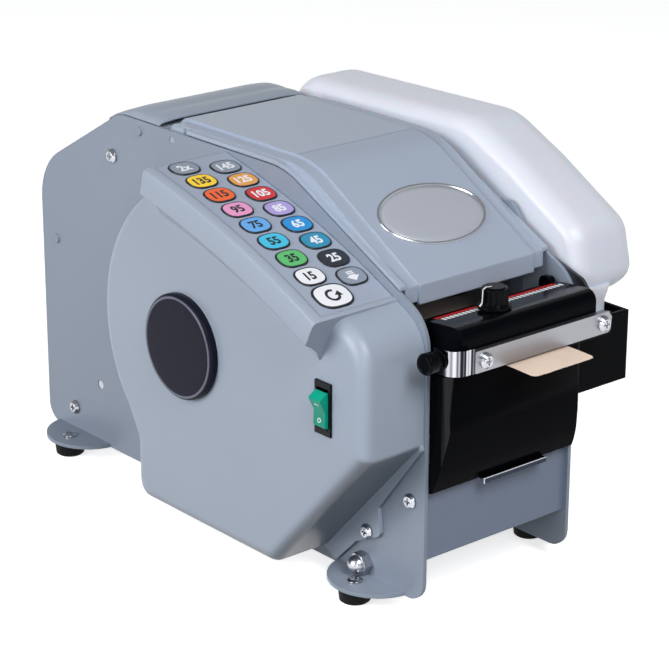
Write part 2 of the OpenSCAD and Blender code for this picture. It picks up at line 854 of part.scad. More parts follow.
module heater_housing() {
    h = heater_w / 2;
    outer = [
        [heater_front_y, 166, 0],
        [heater_front_y, heater_top, 7],
        [-184, heater_top - 2.5, 3],
        [-174, heater_top - 4.5, 3],
        [-174, 166, 0]
    ];
    inner = [
        [heater_front_y + 2.5, 165, 0],
        [heater_front_y + 2.5, heater_top - 2.5, 4.5],
        [-184.5, heater_top - 5, 2],
        [-176.5, heater_top - 6.6, 2],
        [-176.5, 165, 0]
    ];
    color("black") at_frame() difference() {
        union() {
            difference() {
                x_extrude(-h, h) polygon(rounded(outer, 5));
                x_extrude(-h + 2.5, h - 2.5) polygon(rounded(inner, 4));
            }
            // rail behind the bar
            box([bar_x0, bar_y, bar_z], [bar_x0 + bar_l + 1, heater_front_y, bar_z + bar_h - bar_t]);
            box([tape_w / 2 + 6, bar_y, bar_z - 1.8], [bar_x0 + bar_l + 1, heater_front_y, bar_z]);
            // ears and pins at the rear
            both_sides() {
                x_extrude(-h, -h + 3) polygon(rounded([
                    [-176, 170, 0], [-166.6, 178, 4], [-166.6, 188.4, 4.3],
                    [-175.6, 188.4, 4.3], [-178, 181, 0]
                ], 5));
                x_rod(-half_w + slip_gap, -h + 1, pin_r, heater_pin.x, heater_pin.y);
            }
            translate([knob_x, knob_y, heater_top - 6]) cylinder(h = 3.4, r = 8);
        }
        for (x = bar_screw_x)
            y_rod(bar_y - 1, heater_front_y + 4, screw_r + 0.1, x, bar_screw_z);
        translate([knob_x, knob_y, heater_top - 12]) cylinder(h = 20, r = 3 + run_gap);
    }
}

module heater_plate() {
    h = heater_w / 2 - 1;
    color("silver") at_frame() {
        box([-h, heater_front_y + 1, 162], [h, -175, 166]);
        box([-h + 8, -206, 166], [h - 8, -200, 170]);
    }
}

module guard_bar() {
    x1 = bar_x0 + bar_l;
    color("silver") at_frame() difference() {
        union() {
            y_extrude(bar_y - bar_t, bar_y) polygon(rounded([
                [bar_x0, bar_z, 1], [x1 - 1, bar_z, 3], [x1, bar_z + bar_h - 4, 1],
                [x1 - 3, bar_z + bar_h, 1], [bar_x0, bar_z + bar_h, 1]
            ], 4));
            box([bar_x0 + 2, bar_y - bar_t + tiny, bar_z + bar_h - bar_t],
                [x1 - 4, heater_front_y, bar_z + bar_h]);
        }
        for (x = bar_screw_x)
            y_rod(bar_y - bar_t - 1, bar_y + 1, screw_r + 0.1, x, bar_screw_z);
    }
}

module bar_screws() {
    color("silver") at_frame() for (x = bar_screw_x)
        translate([x, bar_y - bar_t, bar_screw_z]) rotate([90, 0, 0]) pan_screw(bar_t + 4);
}

module latch_clip() {
    t = 1.2;
    cx = bar_x0 - 6;
    r = 11;
    y0 = bar_y - bar_t;
    path = concat(
        [[bar_x0, y0], [bar_x0 - 1.5, y0 - 0.8], [bar_x0 - 3, y0]],
        arc_pts([cx, y0 + r], r, -90, -180, 10),
        [[cx - r, y0 + r + 6], [cx - r + t, y0 + r + 6]],
        arc_pts([cx, y0 + r], r - t, -180, -90, 10),
        [[bar_x0 - 3, y0 + t], [bar_x0, y0 + t]]
    );
    color("gainsboro") at_frame() difference() {
        translate([0, 0, bar_z + 0.5]) linear_extrude(15.5) polygon(path);
        x_rod(cx - r - 1, cx - r + 3, 2.6, latch_y, latch_z);
    }
}

module latch_knob() {
    x0 = bar_x0 - 6 - 11;
    color("black") at_frame() translate([x0, latch_y, latch_z]) rotate([0, -90, 0]) {
        rotate_extrude() polygon(concat(
            [[0, 0.3], [6, 0.3], [6, 1.3], [4.4, 1.8], [4.4, 4.6]],
            arc_pts([5.2, 6.4], 1.4, -50, 0, 4),
            [[6.6, 11.6], [5.6, 13], [4.8, 13.2], [4.2, 12.8], [0, 12.8]]
        ));
        translate([0, 0, -4]) cylinder(h = 5, r = 2.5);
    }
}

module heat_knob() {
    n = 14;
    r = knob_d / 2;
    color("black") at_frame() translate([knob_x, knob_y, knob_z]) {
        cylinder(h = 1.6, r = r + 1.9);
        translate([0, 0, 1.6]) cylinder(h = 1.6, r1 = r + 1.4, r2 = r);
        difference() {
            translate([0, 0, 3.2]) cylinder(h = 9, r1 = r, r2 = r - 0.5);
            for (i = [0 : n - 1])
                rotate(i * 360 / n) translate([r + 0.5, 0, 2.8]) cylinder(h = 15, r = 1.2);
        }
        translate([0, 0, 12.2]) cylinder(h = 0.8, r1 = r - 1.5, r2 = r - 2.2);
        translate([0, 0, -9]) cylinder(h = 9.5, r = 3);
    }
}

// ---- front cover ----

// Front curve of the cover from bottom to top, moved back by d
function cover_front(d) = [for (i = [0 : 8])
    let (t = i / 8) [-193 - 10.5 * sin(90 * pow(t, 0.75)) + d, 82.5 + 74.5 * t]];

module front_cover_body(d, z1, back) {
    w = in_x - d;
    intersection() {
        x_extrude(-w, w) polygon(concat([[back, 82]], [for (p = cover_front(d)) p], [[back, z1]]));
        linear_extrude(300) polygon(rounded([
            [-w, back + 1, 0], [-w, -203.5 + d, 12 - d], [w, -203.5 + d, 12 - d], [w, back + 1, 0]
        ], 6));
    }
}

module front_cover() {
    color("black") at_frame() difference() {
        front_cover_body(0, 157, front_y - 0.6);
        difference() {
            front_cover_body(2.4, 158, front_y + 2);
            box([-30, -210, 80], [40, -180, 86]);
        }
        box([in_x - 20, -200, tank_z - 1.5], [in_x + 1, front_y + 2, 160]);
        box([-50, -200.8, 154], [in_x - 19, front_y + 2, 160]);
    }
}

module drip_lip() {
    x0 = -19;
    x1 = 33;
    color("silver") at_frame() {
        box([x0, -196.6, 81], [x1, front_y + 2.5, 82]);
        box([x0, -196.6, 80.2], [x1, -195.6, 82]);
    }
}

// ---- water ----

module tank_plan(d) {
    polygon(inset([
        [-57, front_y + 3], [40, front_y + 3], [40, well_front_y], [tank_right, well_front_y],
        [tank_right, tank_rear_y], [half_w + 2, tank_rear_y], [half_w + 2, front_y - 0.5],
        [in_x - 1.5, front_y - 0.5], [in_x - 1.5, tank_rear_y], [-57, tank_rear_y]
    ], d));
}

module water_tank() {
    color("black") at_frame() difference() {
        union() {
            translate([0, 0, tank_z]) linear_extrude(trough_top - tank_z) tank_plan(0);
            box([half_w + 2, well_front_y, tank_z], [tank_right, tank_rear_y, well_top]);
        }
        translate([0, 0, tank_z + tank_wall]) linear_extrude(60) tank_plan(tank_wall);
    }
}

module water_brushes() {
    color("tan") at_frame() {
        box([-36, -184, tank_z + tank_wall], [36, -158, tank_z + tank_wall + 7]);
        for (k = [0 : 2])
            box([-34, -182.5 + 8.5 * k, tank_z + tank_wall + 7], [34, -176.5 + 8.5 * k, tape_z - slip_gap]);
    }
}

function bottle_outline(d) = inset(rounded([
    [-150, 177, 10],
    [84, 190, 16],
    [92, 263, 22],
    [-84, 266.5, 40],
    [-125, 247, 30],
    [-181, 215, 16],
    [-189, 181, 13],
    [-176, 170, 9]
], 6), d);

module water_bottle() {
    n = 5;
    r = bottle_round;
    left = [for (j = [0 : n])
        let (a = 90 * j / n)
        [for (p = bottle_outline(r * 0.62 * (1 - sin(a)))) [bottle_x0 + r * (1 - cos(a)), p.x, p.y]]];
    right = [for (j = [n : -1 : 0])
        let (a = 90 * j / n)
        [for (p = bottle_outline(r * 0.62 * (1 - sin(a)))) [bottle_x1 - r * (1 - cos(a)), p.x, p.y]]];
    color("white") at_frame() {
        loft([for (ring = concat(left, right)) reverse(ring)]);
        translate([neck_x, neck_y, cap_z + 4]) cylinder(h = 48, r = neck_r);
    }
}

module bottle_cap() {
    color("white") at_frame() translate([neck_x, neck_y, cap_z]) {
        difference() {
            cylinder(h = 22, r = cap_r);
            translate([0, 0, 3]) cylinder(h = 30, r = neck_r + run_gap);
        }
        translate([0, 0, -5]) cylinder(h = 7, r = 2.9);
    }
}

module bottle_bracket() {
    slope = (190 - 177) / (84 + 150);
    shelf = [for (y = [-148, 70]) [y, 177 + (y + 150) * slope - slip_gap - 0.4]];
    color("dimgray") at_frame() difference() {
        union() {
            x_extrude(half_w, half_w + bracket_t) polygon(rounded([
                [-150, 156, 8], [70, 156, 8], [70, 194, 12], [-104, 204, 6],
                [-150, 203, 9], [-194, 190, 8], [-205, 177, 4], [-190, 165, 4]
            ], 5));
            x_extrude(half_w, bottle_x1 - 6) polygon(concat(shelf, [for (p = reverse(shelf)) p - [0, 2]]));
        }
        x_rod(half_w - 1, half_w + bracket_t + 1, pin_r + 1, heater_pin.x, heater_pin.y);
        x_rod(half_w - 1, half_w + bracket_t + 1, head_r + 0.5, guide_y, guide_z);
    }
}

// ---- tape and drive ----

module tape_coil() {
    h = tape_w / 2;
    color("burlywood") at_frame() difference() {
        x_rod(tape_x - h, tape_x + h, coil_r, coil_y, coil_z);
        x_rod(tape_x - h - 1, tape_x + h + 1, core_r, coil_y, coil_z);
    }
}

// Tangent from the guide rod to the top of the coil
web_from = [guide_y + 2, tape_z + tape_t + 0.15];
web_reach = [coil_y, coil_z] - web_from;
web_turn = atan2(web_reach.y, web_reach.x) + asin((coil_r + 0.7) / norm(web_reach));
web_len = sqrt(norm(web_reach) * norm(web_reach) - pow(coil_r + 0.7, 2));

module gummed_tape() {
    h = tape_w / 2;
    droop = 0.6;
    web_to = web_from + web_len * [cos(web_turn), sin(web_turn)];
    top = [for (i = [0 : 6]) let (t = i / 6)
        [bar_y - bar_t - tape_out * t, tape_z + tape_t - droop * t * t]];
    sheet = concat([[cut_y - 6, tape_z + tape_t]], top);
    web = [[cut_y + 6, tape_z + tape_t], [guide_y - 2, tape_z + tape_t], web_from, web_to];
    color("burlywood") at_frame() {
        x_extrude(tape_x - h, tape_x + h) polygon(concat(sheet, [for (p = reverse(sheet)) p - [0, tape_t]]));
        x_extrude(tape_x - h, tape_x + h) polygon(concat(web, [for (p = reverse(web)) p - [0, tape_t]]));
    }
}

module coil_roller(s) {
    color("gainsboro") at_frame() {
        x_rod(-in_x + slip_gap, in_x - slip_gap, roller_r, roller_y(s), roller_z());
        both_sides() x_rod(-half_w + slip_gap, -in_x + 1, 3, roller_y(s), roller_z());
    }
}

module front_coil_roller() { coil_roller(-1); }
module rear_coil_roller() { coil_roller(1); }

module feed_roller() {
    color("dimgray") at_frame() {
        x_rod(-in_x + 2, in_x - 2, feed_r, feed_y, feed_z);
        x_rod(gear_x - gear_t / 2 - 4, half_w + 1, shaft_r, feed_y, feed_z);
    }
}

module pinch_roller() {
    color("dimgray") at_frame() {
        x_rod(-in_x + 4, in_x - 4, pinch_r, feed_y, pinch_z);
        both_sides() x_rod(-half_w + slip_gap, 0, 3, feed_y, pinch_z);
    }
}

// Spur gear with straight-flanked teeth, tooth 0 towards +X of the outline
module gear_outline(teeth, gap) {
    m = gear_module;
    rp = m * teeth / 2;
    step = 360 / teeth;
    polygon([for (i = [0 : teeth - 1]) each [
        for (c = [[-0.36, -1.2], [-0.19, 1 - gap], [0.19, 1 - gap], [0.36, -1.2]])
            let (a = (i + c[0] * (c[1] > 0 ? 0.72 : 1)) * step, r = rp + c[1] * m)
            r * [cos(a), sin(a)]
    ]]);
}

module drive_gear() {
    color("gold") at_frame() difference() {
        x_extrude(gear_x - gear_t / 2, gear_x + gear_t / 2)
            translate([feed_y, feed_z]) gear_outline(gear_teeth, gear_gap);
        x_rod(gear_x - 10, gear_x + 10, shaft_r, feed_y, feed_z);
        for (i = [0 : 4])
            x_rod(gear_x - 10, gear_x + 10, 4.2,
                feed_y + 14 * cos(i * 72), feed_z + 14 * sin(i * 72));
    }
}

motor_y = feed_y + gear_r + pinion_r + gear_gap;

module motor_pinion() {
    color("gold") at_frame() {
        x_extrude(gear_x - gear_t / 2, gear_x + gear_t / 2)
            translate([motor_y, feed_z]) rotate(180 / pinion_teeth) gear_outline(pinion_teeth, gear_gap);
        x_rod(gear_x - gear_t / 2 - 3, gear_x + gear_t / 2 + 1, 2.5, motor_y, feed_z);
    }
}

module drive_motor() {
    x1 = gear_x - gear_t / 2 - 1;
    color("silver") at_frame() difference() {
        union() {
            x_rod(x1 - 24, x1 - 3, 17, motor_y, feed_z);
            box([x1 - 3, motor_y - 20, feed_z - 20], [x1, motor_y + 20, feed_z + 20]);
            for (p = [[8, 16], [8, -16]])
                x_rod(x1 - 1, -half_w, 3, motor_y + p.x + 8, feed_z + p.y);
        }
        x_rod(x1 - 4, x1 + 1, 2.5 + slip_gap, motor_y, feed_z);
    }
}

blade_pivot = [50, 176];
blade_open = 4;

module fixed_blade() {
    color("silver") at_frame() {
        box([-in_x, cut_y - 6, 138], [in_x, cut_y - 1.5, tape_z - 0.3]);
        box([-in_x, cut_y - 11.5, 138], [in_x, cut_y - 1.5, 141]);
        box([42, cut_y - 6, 150], [in_x, cut_y - 1.5, 184]);
        difference() {
            box([42, cut_y - 2, 162], [in_x, cut_y + 6, 184]);
            box([41, cut_y - 1.5, 161], [57, cut_y + 2.5, 190]);
            y_rod(cut_y, cut_y + 7, 3 + run_gap, blade_pivot.x, blade_pivot.y);
        }
    }
}

module cutter_blade() {
    color("silver") at_frame() difference() {
        translate([blade_pivot.x, 0, blade_pivot.y]) rotate([0, blade_open, 0]) {
            y_extrude(cut_y - 1.2, cut_y + 1.3) polygon(rounded([
                [-96, -16.8, 1], [5, -15.4, 2], [6, 5, 4], [-6, 5, 3], [-40, -2, 6], [-96, -2, 3]
            ], 4));
            y_rod(cut_y + 1.3, cut_y + 5.5, 3, 0, 0);
        }
        y_rod(cut_y - 3, cut_y + 3, 2.2, plunger_x, plunger_pin_z);
    }
}

plunger_x = -36;
plunger_pin_z = 176 + 0.5;

module solenoid_plunger() {
    color("gray") at_frame() {
        translate([plunger_x, cut_y + 6, plunger_pin_z + 3]) cylinder(h = 27, r = 4);
        box([plunger_x - 4, cut_y + 2, plunger_pin_z - 4], [plunger_x + 4, cut_y + 10, plunger_pin_z + 4]);
        y_rod(cut_y - 1.2, cut_y + 3, 1.4, plunger_x, plunger_pin_z);
    }
}

module cutter_solenoid() {
    z0 = plunger_pin_z + 12;
    color("darkgray") at_frame() difference() {
        union() {
            box([plunger_x - 13, cut_y - 4, z0], [plunger_x + 13, cut_y + 20, z0 + 22]);
            box([-in_x, cut_y - 2, z0], [plunger_x - 12, cut_y + 18, z0 + 3]);
            box([-in_x, cut_y - 2, z0], [-in_x + 2, cut_y + 18, z0 + 20]);
        }
        translate([plunger_x, cut_y + 6, z0 - 1]) cylinder(h = 20, r = 4 + run_gap);
    }
}

module control_board() {
    x0 = -half_w - 10;
    color("darkgreen") at_frame() {
        box([x0 - 1.6, -52, 62], [x0, 24, 182]);
        for (y = [-46, 18]) for (z = [68, 176])
            x_rod(x0, -half_w, 3, y, z);
        box([x0 - 27, -14, 68], [x0 - 1.6, 12, 98]);
        for (k = [0 : 1])
            x_rod(x0 - 19, x0 - 1.6, 7, -32, 74 + 18 * k);
        box([x0 - 5, -30, 118], [x0 - 1.6, -10, 138]);
        box([x0 - 9, -42, 168], [x0 - 1.6, 10, 175]);
        box([x0 - 16, 6, 112], [x0 - 1.6, 26, 128]);
    }
}

module power_inlet() {
    y1 = cover_rear_y;
    color("black") at_frame() difference() {
        union() {
            box([inlet_x - 13.4, y1 - 24, inlet_z - 9.9], [inlet_x + 13.4, y1, inlet_z + 9.9]);
            box([inlet_x - 15.5, y1, inlet_z - 12], [inlet_x + 15.5, y1 + 2.5, inlet_z + 12]);
        }
        y_extrude(y1 - 16, y1 + 4) translate([inlet_x, inlet_z]) polygon([
            [-11.5, -7.5], [11.5, -7.5], [11.5, 3], [7.5, 7.5], [-7.5, 7.5], [-11.5, 3]
        ]);
    }
    color("silver") at_frame() for (p = [[-7, -1], [0, 2.5], [7, -1]])
        box([inlet_x + p.x - 1, y1 - 17, inlet_z + p.y - 2], [inlet_x + p.x + 1, y1 - 3, inlet_z + p.y + 2]);
}

// ---- nodes ----

left_side_plate();
right_side_plate();
front_panel();
rear_cover();
coil_basket();
tie_rods();
side_cover();
keypad_panel();
side_badge();
switch_bezel();
switch_rocker();
front_cover();
drip_lip();
bottle_bracket();
fixed_blade();
drive_motor();
cutter_solenoid();
solenoid_plunger();
control_board();
power_inlet();
rubber_feet();
frame_screws();
lid();
heater_housing();
heater_plate();
guard_bar();
latch_clip();
bar_screws();
heat_knob();
latch_knob();
water_tank();
water_brushes();
water_bottle();
bottle_cap();
tape_coil();
gummed_tape();
front_coil_roller();
rear_coil_roller();
feed_roller();
drive_gear();
motor_pinion();
pinch_roller();
cutter_blade();
key_double();
key_135();
key_115();
key_95();
key_75();
key_55();
key_35();
key_15();
key_repeat();
key_145();
key_125();
key_105();
key_85();
key_65();
key_45();
key_25();
key_feed();
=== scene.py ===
# %% [markdown]
# # A gummed tape dispenser, dressed for its portrait
#
# The solids of this machine come from a CAD model: sheet steel sides, moulded housings,
# a water bottle, a keypad and a heated outlet. This notebook loads them as a fixed frame,
# gives each surface the finish of the real one, and adds what a solid model leaves out:
# printed keys, a ruled stripe, a torn paper edge, brush bristles and wound paper.

# %% Load the frame
import math

import bpy
import numpy as np
from mathutils import Matrix, Vector


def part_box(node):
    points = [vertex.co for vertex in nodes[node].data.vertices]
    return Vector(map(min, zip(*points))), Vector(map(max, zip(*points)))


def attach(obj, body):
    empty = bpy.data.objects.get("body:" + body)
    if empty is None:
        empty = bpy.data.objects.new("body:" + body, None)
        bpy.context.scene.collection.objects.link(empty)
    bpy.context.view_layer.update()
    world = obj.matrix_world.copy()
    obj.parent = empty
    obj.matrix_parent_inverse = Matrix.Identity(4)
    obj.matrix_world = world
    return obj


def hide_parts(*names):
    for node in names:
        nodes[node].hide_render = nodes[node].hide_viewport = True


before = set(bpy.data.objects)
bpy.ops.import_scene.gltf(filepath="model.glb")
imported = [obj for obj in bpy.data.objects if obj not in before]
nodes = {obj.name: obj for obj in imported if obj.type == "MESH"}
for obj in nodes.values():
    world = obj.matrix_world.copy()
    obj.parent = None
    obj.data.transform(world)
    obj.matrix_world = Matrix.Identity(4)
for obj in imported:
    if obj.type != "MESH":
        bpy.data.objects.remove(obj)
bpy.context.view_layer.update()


def add_object(name, data):
    """An object in the scene with the given data, at the origin."""
    made = bpy.data.objects.new(name, data)
    bpy.context.scene.collection.objects.link(made)
    return made


print("the frame has", len(nodes), "nodes")

# %% [markdown]
# ## One set of coordinates
#
# The machine was drawn in millimetres about the middle plane between its side plates, with
# the plates' front edges at Y = -190. The frame is in metres about the middle of its box.
# Two of the frame's own boxes give the shift between them, so that every piece below can be
# written in millimetres.

# %% From machine millimetres to frame metres
MM = 0.001
FRONT_EDGE = -190.0
plate_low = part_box("left_side_plate")[0]
panel_low, panel_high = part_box("front_panel")
SHIFT = np.array([(panel_low[0] + panel_high[0]) / 2, plate_low[1] - FRONT_EDGE * MM, 0.0])


def in_frame(points):
    """Machine points in millimetres as points of the frame in metres."""
    return np.asarray(points) * MM + SHIFT


print("shift of the middle plane:", np.round(SHIFT / MM, 2), "mm")

# %% [markdown]
# ## The camera
#
# A studio shot of such a machine is taken with a long lens from a few steps away, so that
# verticals stay nearly parallel. The camera looks down by twenty degrees onto the front
# left corner. Yaw is counted from the machine's length towards its bottle side, and roll is
# the slight tilt of a hand-levelled tripod head.

# %% Camera
FRAME_PIXELS, FOCAL_PIXELS = 669, 2431.0
SENSOR = 36.0
YAW, PITCH, ROLL = math.radians(40.64), math.radians(20.02), math.radians(0.23)
CAMERA_PLACE = in_frame([-956.4, -1150.4, 659.9])

level = math.cos(PITCH)
looking = Vector((math.sin(YAW) * level, math.cos(YAW) * level, -math.sin(PITCH)))
level_right = Vector((math.cos(YAW), -math.sin(YAW), 0.0))
level_up = level_right.cross(looking)
right = math.cos(ROLL) * level_right + math.sin(ROLL) * level_up
up = math.cos(ROLL) * level_up - math.sin(ROLL) * level_right

camera = add_object("camera", bpy.data.cameras.new("camera"))
camera.data.sensor_width = SENSOR
camera.data.sensor_fit = "HORIZONTAL"
camera.data.lens = FOCAL_PIXELS / FRAME_PIXELS * SENSOR
camera.data.clip_end = 20.0
turned = Matrix((right, up, -looking)).transposed().to_4x4()
camera.matrix_world = Matrix.Translation(Vector(CAMERA_PLACE)) @ turned
bpy.context.scene.camera = camera
print("lens:", round(camera.data.lens, 1), "mm")

# %% [markdown]
# ## Light
#
# Catalogue pictures of glossy black and satin grey are lit by large soft boxes: one at the
# left for the side of the housing, one high in front for the lid's slope, which leaves the
# undersides dark, and a narrow strip that draws a bright line down the curved cover. Their
# power is set so that a colour renders about as it is written.

# %% Lamps
MIDDLE, COVER = (0.0, 0.0, 0.13), (0.0, -0.2, 0.12)


def soft_box(name, place, aim, size, power, colour=(1.0, 1.0, 1.0)):
    """A lamp of a width and height in metres at a place, turned so that it faces its aim."""
    lamp = bpy.data.lights.new(name, "AREA")
    lamp.shape = "RECTANGLE"
    lamp.size, lamp.size_y = size
    lamp.energy, lamp.color = power, colour
    turned = (Vector(aim) - Vector(place)).to_track_quat("-Z", "Y").to_matrix().to_4x4()
    add_object(name, lamp).matrix_world = Matrix.Translation(Vector(place)) @ turned


soft_box("left_box", (-1.6, 0.15, 0.8), MIDDLE, (1.0, 1.0), 24.0)
soft_box("front_box", (-0.3, -1.3, 1.35), MIDDLE, (0.8, 0.8), 21.0)
soft_box("strip_box", (-1.15, -1.25, 0.35), COVER, (0.06, 0.9), 4.0, (0.86, 0.93, 1.0))
print("lamps:", len(bpy.data.lights))

# %% [markdown]
# ## Shader maths as arithmetic
#
# A procedural finish is a formula over the surface, such as noise times a strength plus a
# base value. A web of nodes hides it, so a small class wraps a socket and lets ordinary
# operators add the Math nodes. What is the same all over a surface is set on the shader's
# own sockets instead.

# %% Shader helpers


def tint(red, green, blue):
    """A colour picked in screen values from 0 to 255, as the linear values of a shader."""
    screen = np.array([red, green, blue]) / 255.0
    linear = np.where(screen <= 0.04045, screen / 12.92, ((screen + 0.055) / 1.055) ** 2.4)
    return (*linear.tolist(), 1.0)


def scaled(colour, share, lift=0.0):
    """A colour with its three values multiplied by a share, and lifted."""
    return tuple(min(1.0, value * share + lift) for value in colour[:3]) + (1.0,)


class Wire:
    """A shader socket that turns arithmetic into Math nodes."""

    def __init__(self, graph, socket):
        self.graph, self.socket = graph, socket

    def __add__(self, other):
        return self.graph.maths("ADD", self, other)

    def __sub__(self, other):
        return self.graph.maths("SUBTRACT", self, other)

    def __rsub__(self, other):
        return self.graph.maths("SUBTRACT", other, self)

    def __mul__(self, other):
        return self.graph.maths("MULTIPLY", self, other)

    def smooth(self, low, high):
        """0 below low, 1 above high, and a soft ramp between them."""
        return self.graph.node("MapRange", {"interpolation_type": "SMOOTHSTEP"},
                               {"Value": self, "From Min": low, "From Max": high})

    __radd__ = __add__
    __rmul__ = __mul__


class Graph:
    """A shader tree, with one method that adds any node."""

    def __init__(self, tree):
        self.tree = tree

    def put(self, socket, value):
        if isinstance(value, Wire):
            self.tree.links.new(value.socket, socket)
        else:
            socket.default_value = value

    def node(self, kind, settings=None, values=None, out=0):
        made = self.tree.nodes.new("ShaderNode" + kind)
        for label, value in (settings or {}).items():
            setattr(made, label, value)
        for label, value in (values or {}).items():
            self.put(made.inputs[label], value)
        return Wire(self, made.outputs[out])

    def maths(self, operation, *values):
        return self.node("Math", {"operation": operation}, dict(enumerate(values)))

    def place(self, scale=(1, 1, 1), turn=(0, 0, 0), where=(0, 0, 0)):
        """Object coordinates in metres, scaled, so that a pattern can be stretched."""
        raw = self.node("TexCoord", out="Object")
        return self.node("Mapping", None,
                         {"Vector": raw, "Scale": scale, "Rotation": turn, "Location": where})

    def axis(self, name, vector=None):
        """One value of a vector, which is the place if none is given."""
        return self.node("SeparateXYZ", None, {"Vector": vector or self.place()}, name)

    def facing(self, name):
        """How far a face looks along an axis, from -1 to 1."""
        return self.axis(name, self.node("NewGeometry", out="Normal"))

    def looked_at(self):
        """1 where the picture or a polished surface shows a thing, 0 for the light it throws."""
        rays = [self.node("LightPath", out=f"Is {kind} Ray")
                for kind in ("Camera", "Glossy", "Transmission")]
        return self.maths("MINIMUM", rays[0] + rays[1] + rays[2], 1.0)

    def noise(self, scale, detail=2.0, rough=0.5, vector=None):
        return self.node("TexNoise", None,
                         {"Vector": vector or self.place(), "Scale": scale, "Detail": detail,
                          "Roughness": rough}, "Fac")

    def mix(self, first, second, share):
        """A colour that goes from first to second as share goes from 0 to 1."""
        return self.node("Mix", {"data_type": "RGBA"},
                         {0: share, 6: first, 7: second}, out=2)


class Finish(Graph):
    """A Principled material, named by its socket labels with _ for each space."""

    def __init__(self, name, specular=0.5, **constants):
        self.material = bpy.data.materials.new(name)
        self.material.use_nodes = True
        super().__init__(self.material.node_tree)
        self.shader = self.tree.nodes["Principled BSDF"]
        self.skin(Specular_IOR_Level=specular, **constants)

    def skin(self, **values):
        for label, value in values.items():
            self.put(self.shader.inputs[label.replace("_", " ")], value)
        return self

    def follow(self, pattern, first, second, roughness, spread):
        """Colour and roughness that both follow one pattern, from 0 to 1."""
        return self.skin(Base_Color=self.mix(first, second, pattern),
                         Roughness=pattern * spread + roughness)

    def relief(self, height, strength, depth, edge=0.0):
        """Bump from a height, over corners that a Bevel node rounds by edge metres."""
        values = {"Height": height, "Strength": strength, "Distance": depth}
        if edge:
            values["Normal"] = self.node("Bevel", {"samples": 6}, {"Radius": edge})
        return self.skin(Normal=self.node("Bump", None, values))


print("shader helpers ready")

# %% [markdown]
# ## The room
#
# The world's brightness depends only on height: white at the horizon, like a studio's paper
# backdrop, and dimmer overhead. The camera and polished surfaces see it as it is, but the
# light that it throws is weaker, so that the lamps do the modelling.

# %% World
HORIZON, OVERHEAD = 0.06, 0.45
CEILING_TONE, THROWN_LIGHT = 0.36, 0.35
world = bpy.data.worlds.new("studio")
bpy.context.scene.world = world
world.use_nodes = True
sky = Graph(world.node_tree)
height = sky.axis("Z", sky.node("TexCoord", out="Generated"))
room = 1.0 - height.smooth(HORIZON, OVERHEAD) * (1.0 - CEILING_TONE)
share = sky.looked_at() * (1.0 - THROWN_LIGHT) + THROWN_LIGHT
backdrop = world.node_tree.nodes["Background"]
sky.put(backdrop.inputs["Color"], (0.96, 0.98, 1.0, 1.0))
sky.put(backdrop.inputs["Strength"], room * share)
bpy.context.scene.view_settings.view_transform = "Standard"
print("room of", len(world.node_tree.nodes), "shader nodes")

# %% [markdown]
# ## Moulded and painted grey
#
# The housings are one blue-grey with a fine moulded grain, and the steel plates are sprayed
# to match. A tone that drifts slightly, roughness that varies where hands have polished it
# and a fine orange peel make it real. Corners catch light because the Bevel node rounds
# them. Faces low down that look towards the table get painted shade: a darker copy of the
# grey stands for the shade they sit in.

# %% Grey finishes
# painted shade: low faces that look down take a darker copy of the grey, by this share
PAINTED_SHADE_TONE = 0.42
PAINTED_SHADE_FACING, PAINTED_SHADE_BELOW = (-0.62, -0.12), (0.10, 0.13)


def grey_body(name, colour, grain_size, grain_depth, roughness, edge, coat):
    """Satin grey: slow drift of tone, patches of polish, and a grain of a size in metres."""
    finish = Finish(name, 0.3, Coat_Roughness=0.18, Coat_Weight=coat)
    drift, fine = finish.noise(9.0, 3.0, 0.6), finish.noise(140.0)
    tone = finish.mix(scaled(colour, 0.93), colour, drift * 0.75 + fine * 0.25)
    # painted shade where a face looks down and sits low; elsewhere the grey stays as sprayed
    out_of_painted_shade = finish.maths("MAXIMUM", finish.facing("Z").smooth(*PAINTED_SHADE_FACING),
                          finish.axis("Z").smooth(*PAINTED_SHADE_BELOW))
    finish.skin(Base_Color=finish.mix(scaled(colour, PAINTED_SHADE_TONE), tone, out_of_painted_shade),
                Roughness=roughness - 0.03 + drift * 0.07)
    return finish.relief(finish.noise(1.0 / grain_size, 2.0, 0.6), 0.35, grain_depth, edge)


moulded_grey = grey_body("moulded_grey", tint(153, 163, 178), 0.0011, 0.00003, 0.34, 0.0011, 0.08)
lid_grey = grey_body("lid_grey", tint(160, 171, 188), 0.0012, 0.00002, 0.30, 0.0012, 0.12)
sprayed_steel = grey_body("sprayed_steel", tint(135, 145, 160), 0.0016, 0.00004, 0.34, 0.0006, 0.08)
# the front panel's grey is darker: painted shade for the shade under the front cover
panel_steel_painted_shade = grey_body("panel_steel_painted_shade", tint(116, 127, 147), 0.0016, 0.00004, 0.36, 0.0006, 0.0)
print("grey finishes made")

# %% [markdown]
# ## Glossy black
#
# The outlet housing, the front cover and the tank are moulded in shiny black. A gloss this
# deep shows its polish only in reflections, so the colour is nearly flat, the roughness
# carries faint smears, and the surface is a little wavy, as a thin moulding cools. The
# badge on the side is the same plastic in a deep navy.

# %% Black finishes
BLACK, NAVY = (tint(6, 7, 11), tint(13, 15, 20)), (tint(28, 29, 42), tint(38, 39, 54))


def moulding(name, roughness, waviness, edge, level, tones=BLACK, top=0.0, corner=0.0):
    """Dark plastic; top and corner weigh a clear gloss on faces that look up or turn left."""
    finish = Finish(name, level, Coat_Roughness=0.12)
    if top:
        finish.skin(Coat_Weight=finish.facing("Z").smooth(0.8, 0.98) * top)
    if corner:
        left = finish.facing("X") * -1.0
        finish.skin(Coat_Weight=(left.smooth(0.36, 0.50) - left.smooth(0.74, 0.86)) * corner)
    smear = finish.noise(28.0, 4.0, 0.65)
    dust = finish.noise(900.0, 1.0).smooth(0.70, 0.80)
    finish.skin(Base_Color=finish.mix(*tones, dust * 0.5), Roughness=roughness + smear * 0.10)
    return finish.relief(finish.noise(34.0, 1.0, 0.4), 0.25, waviness, edge)


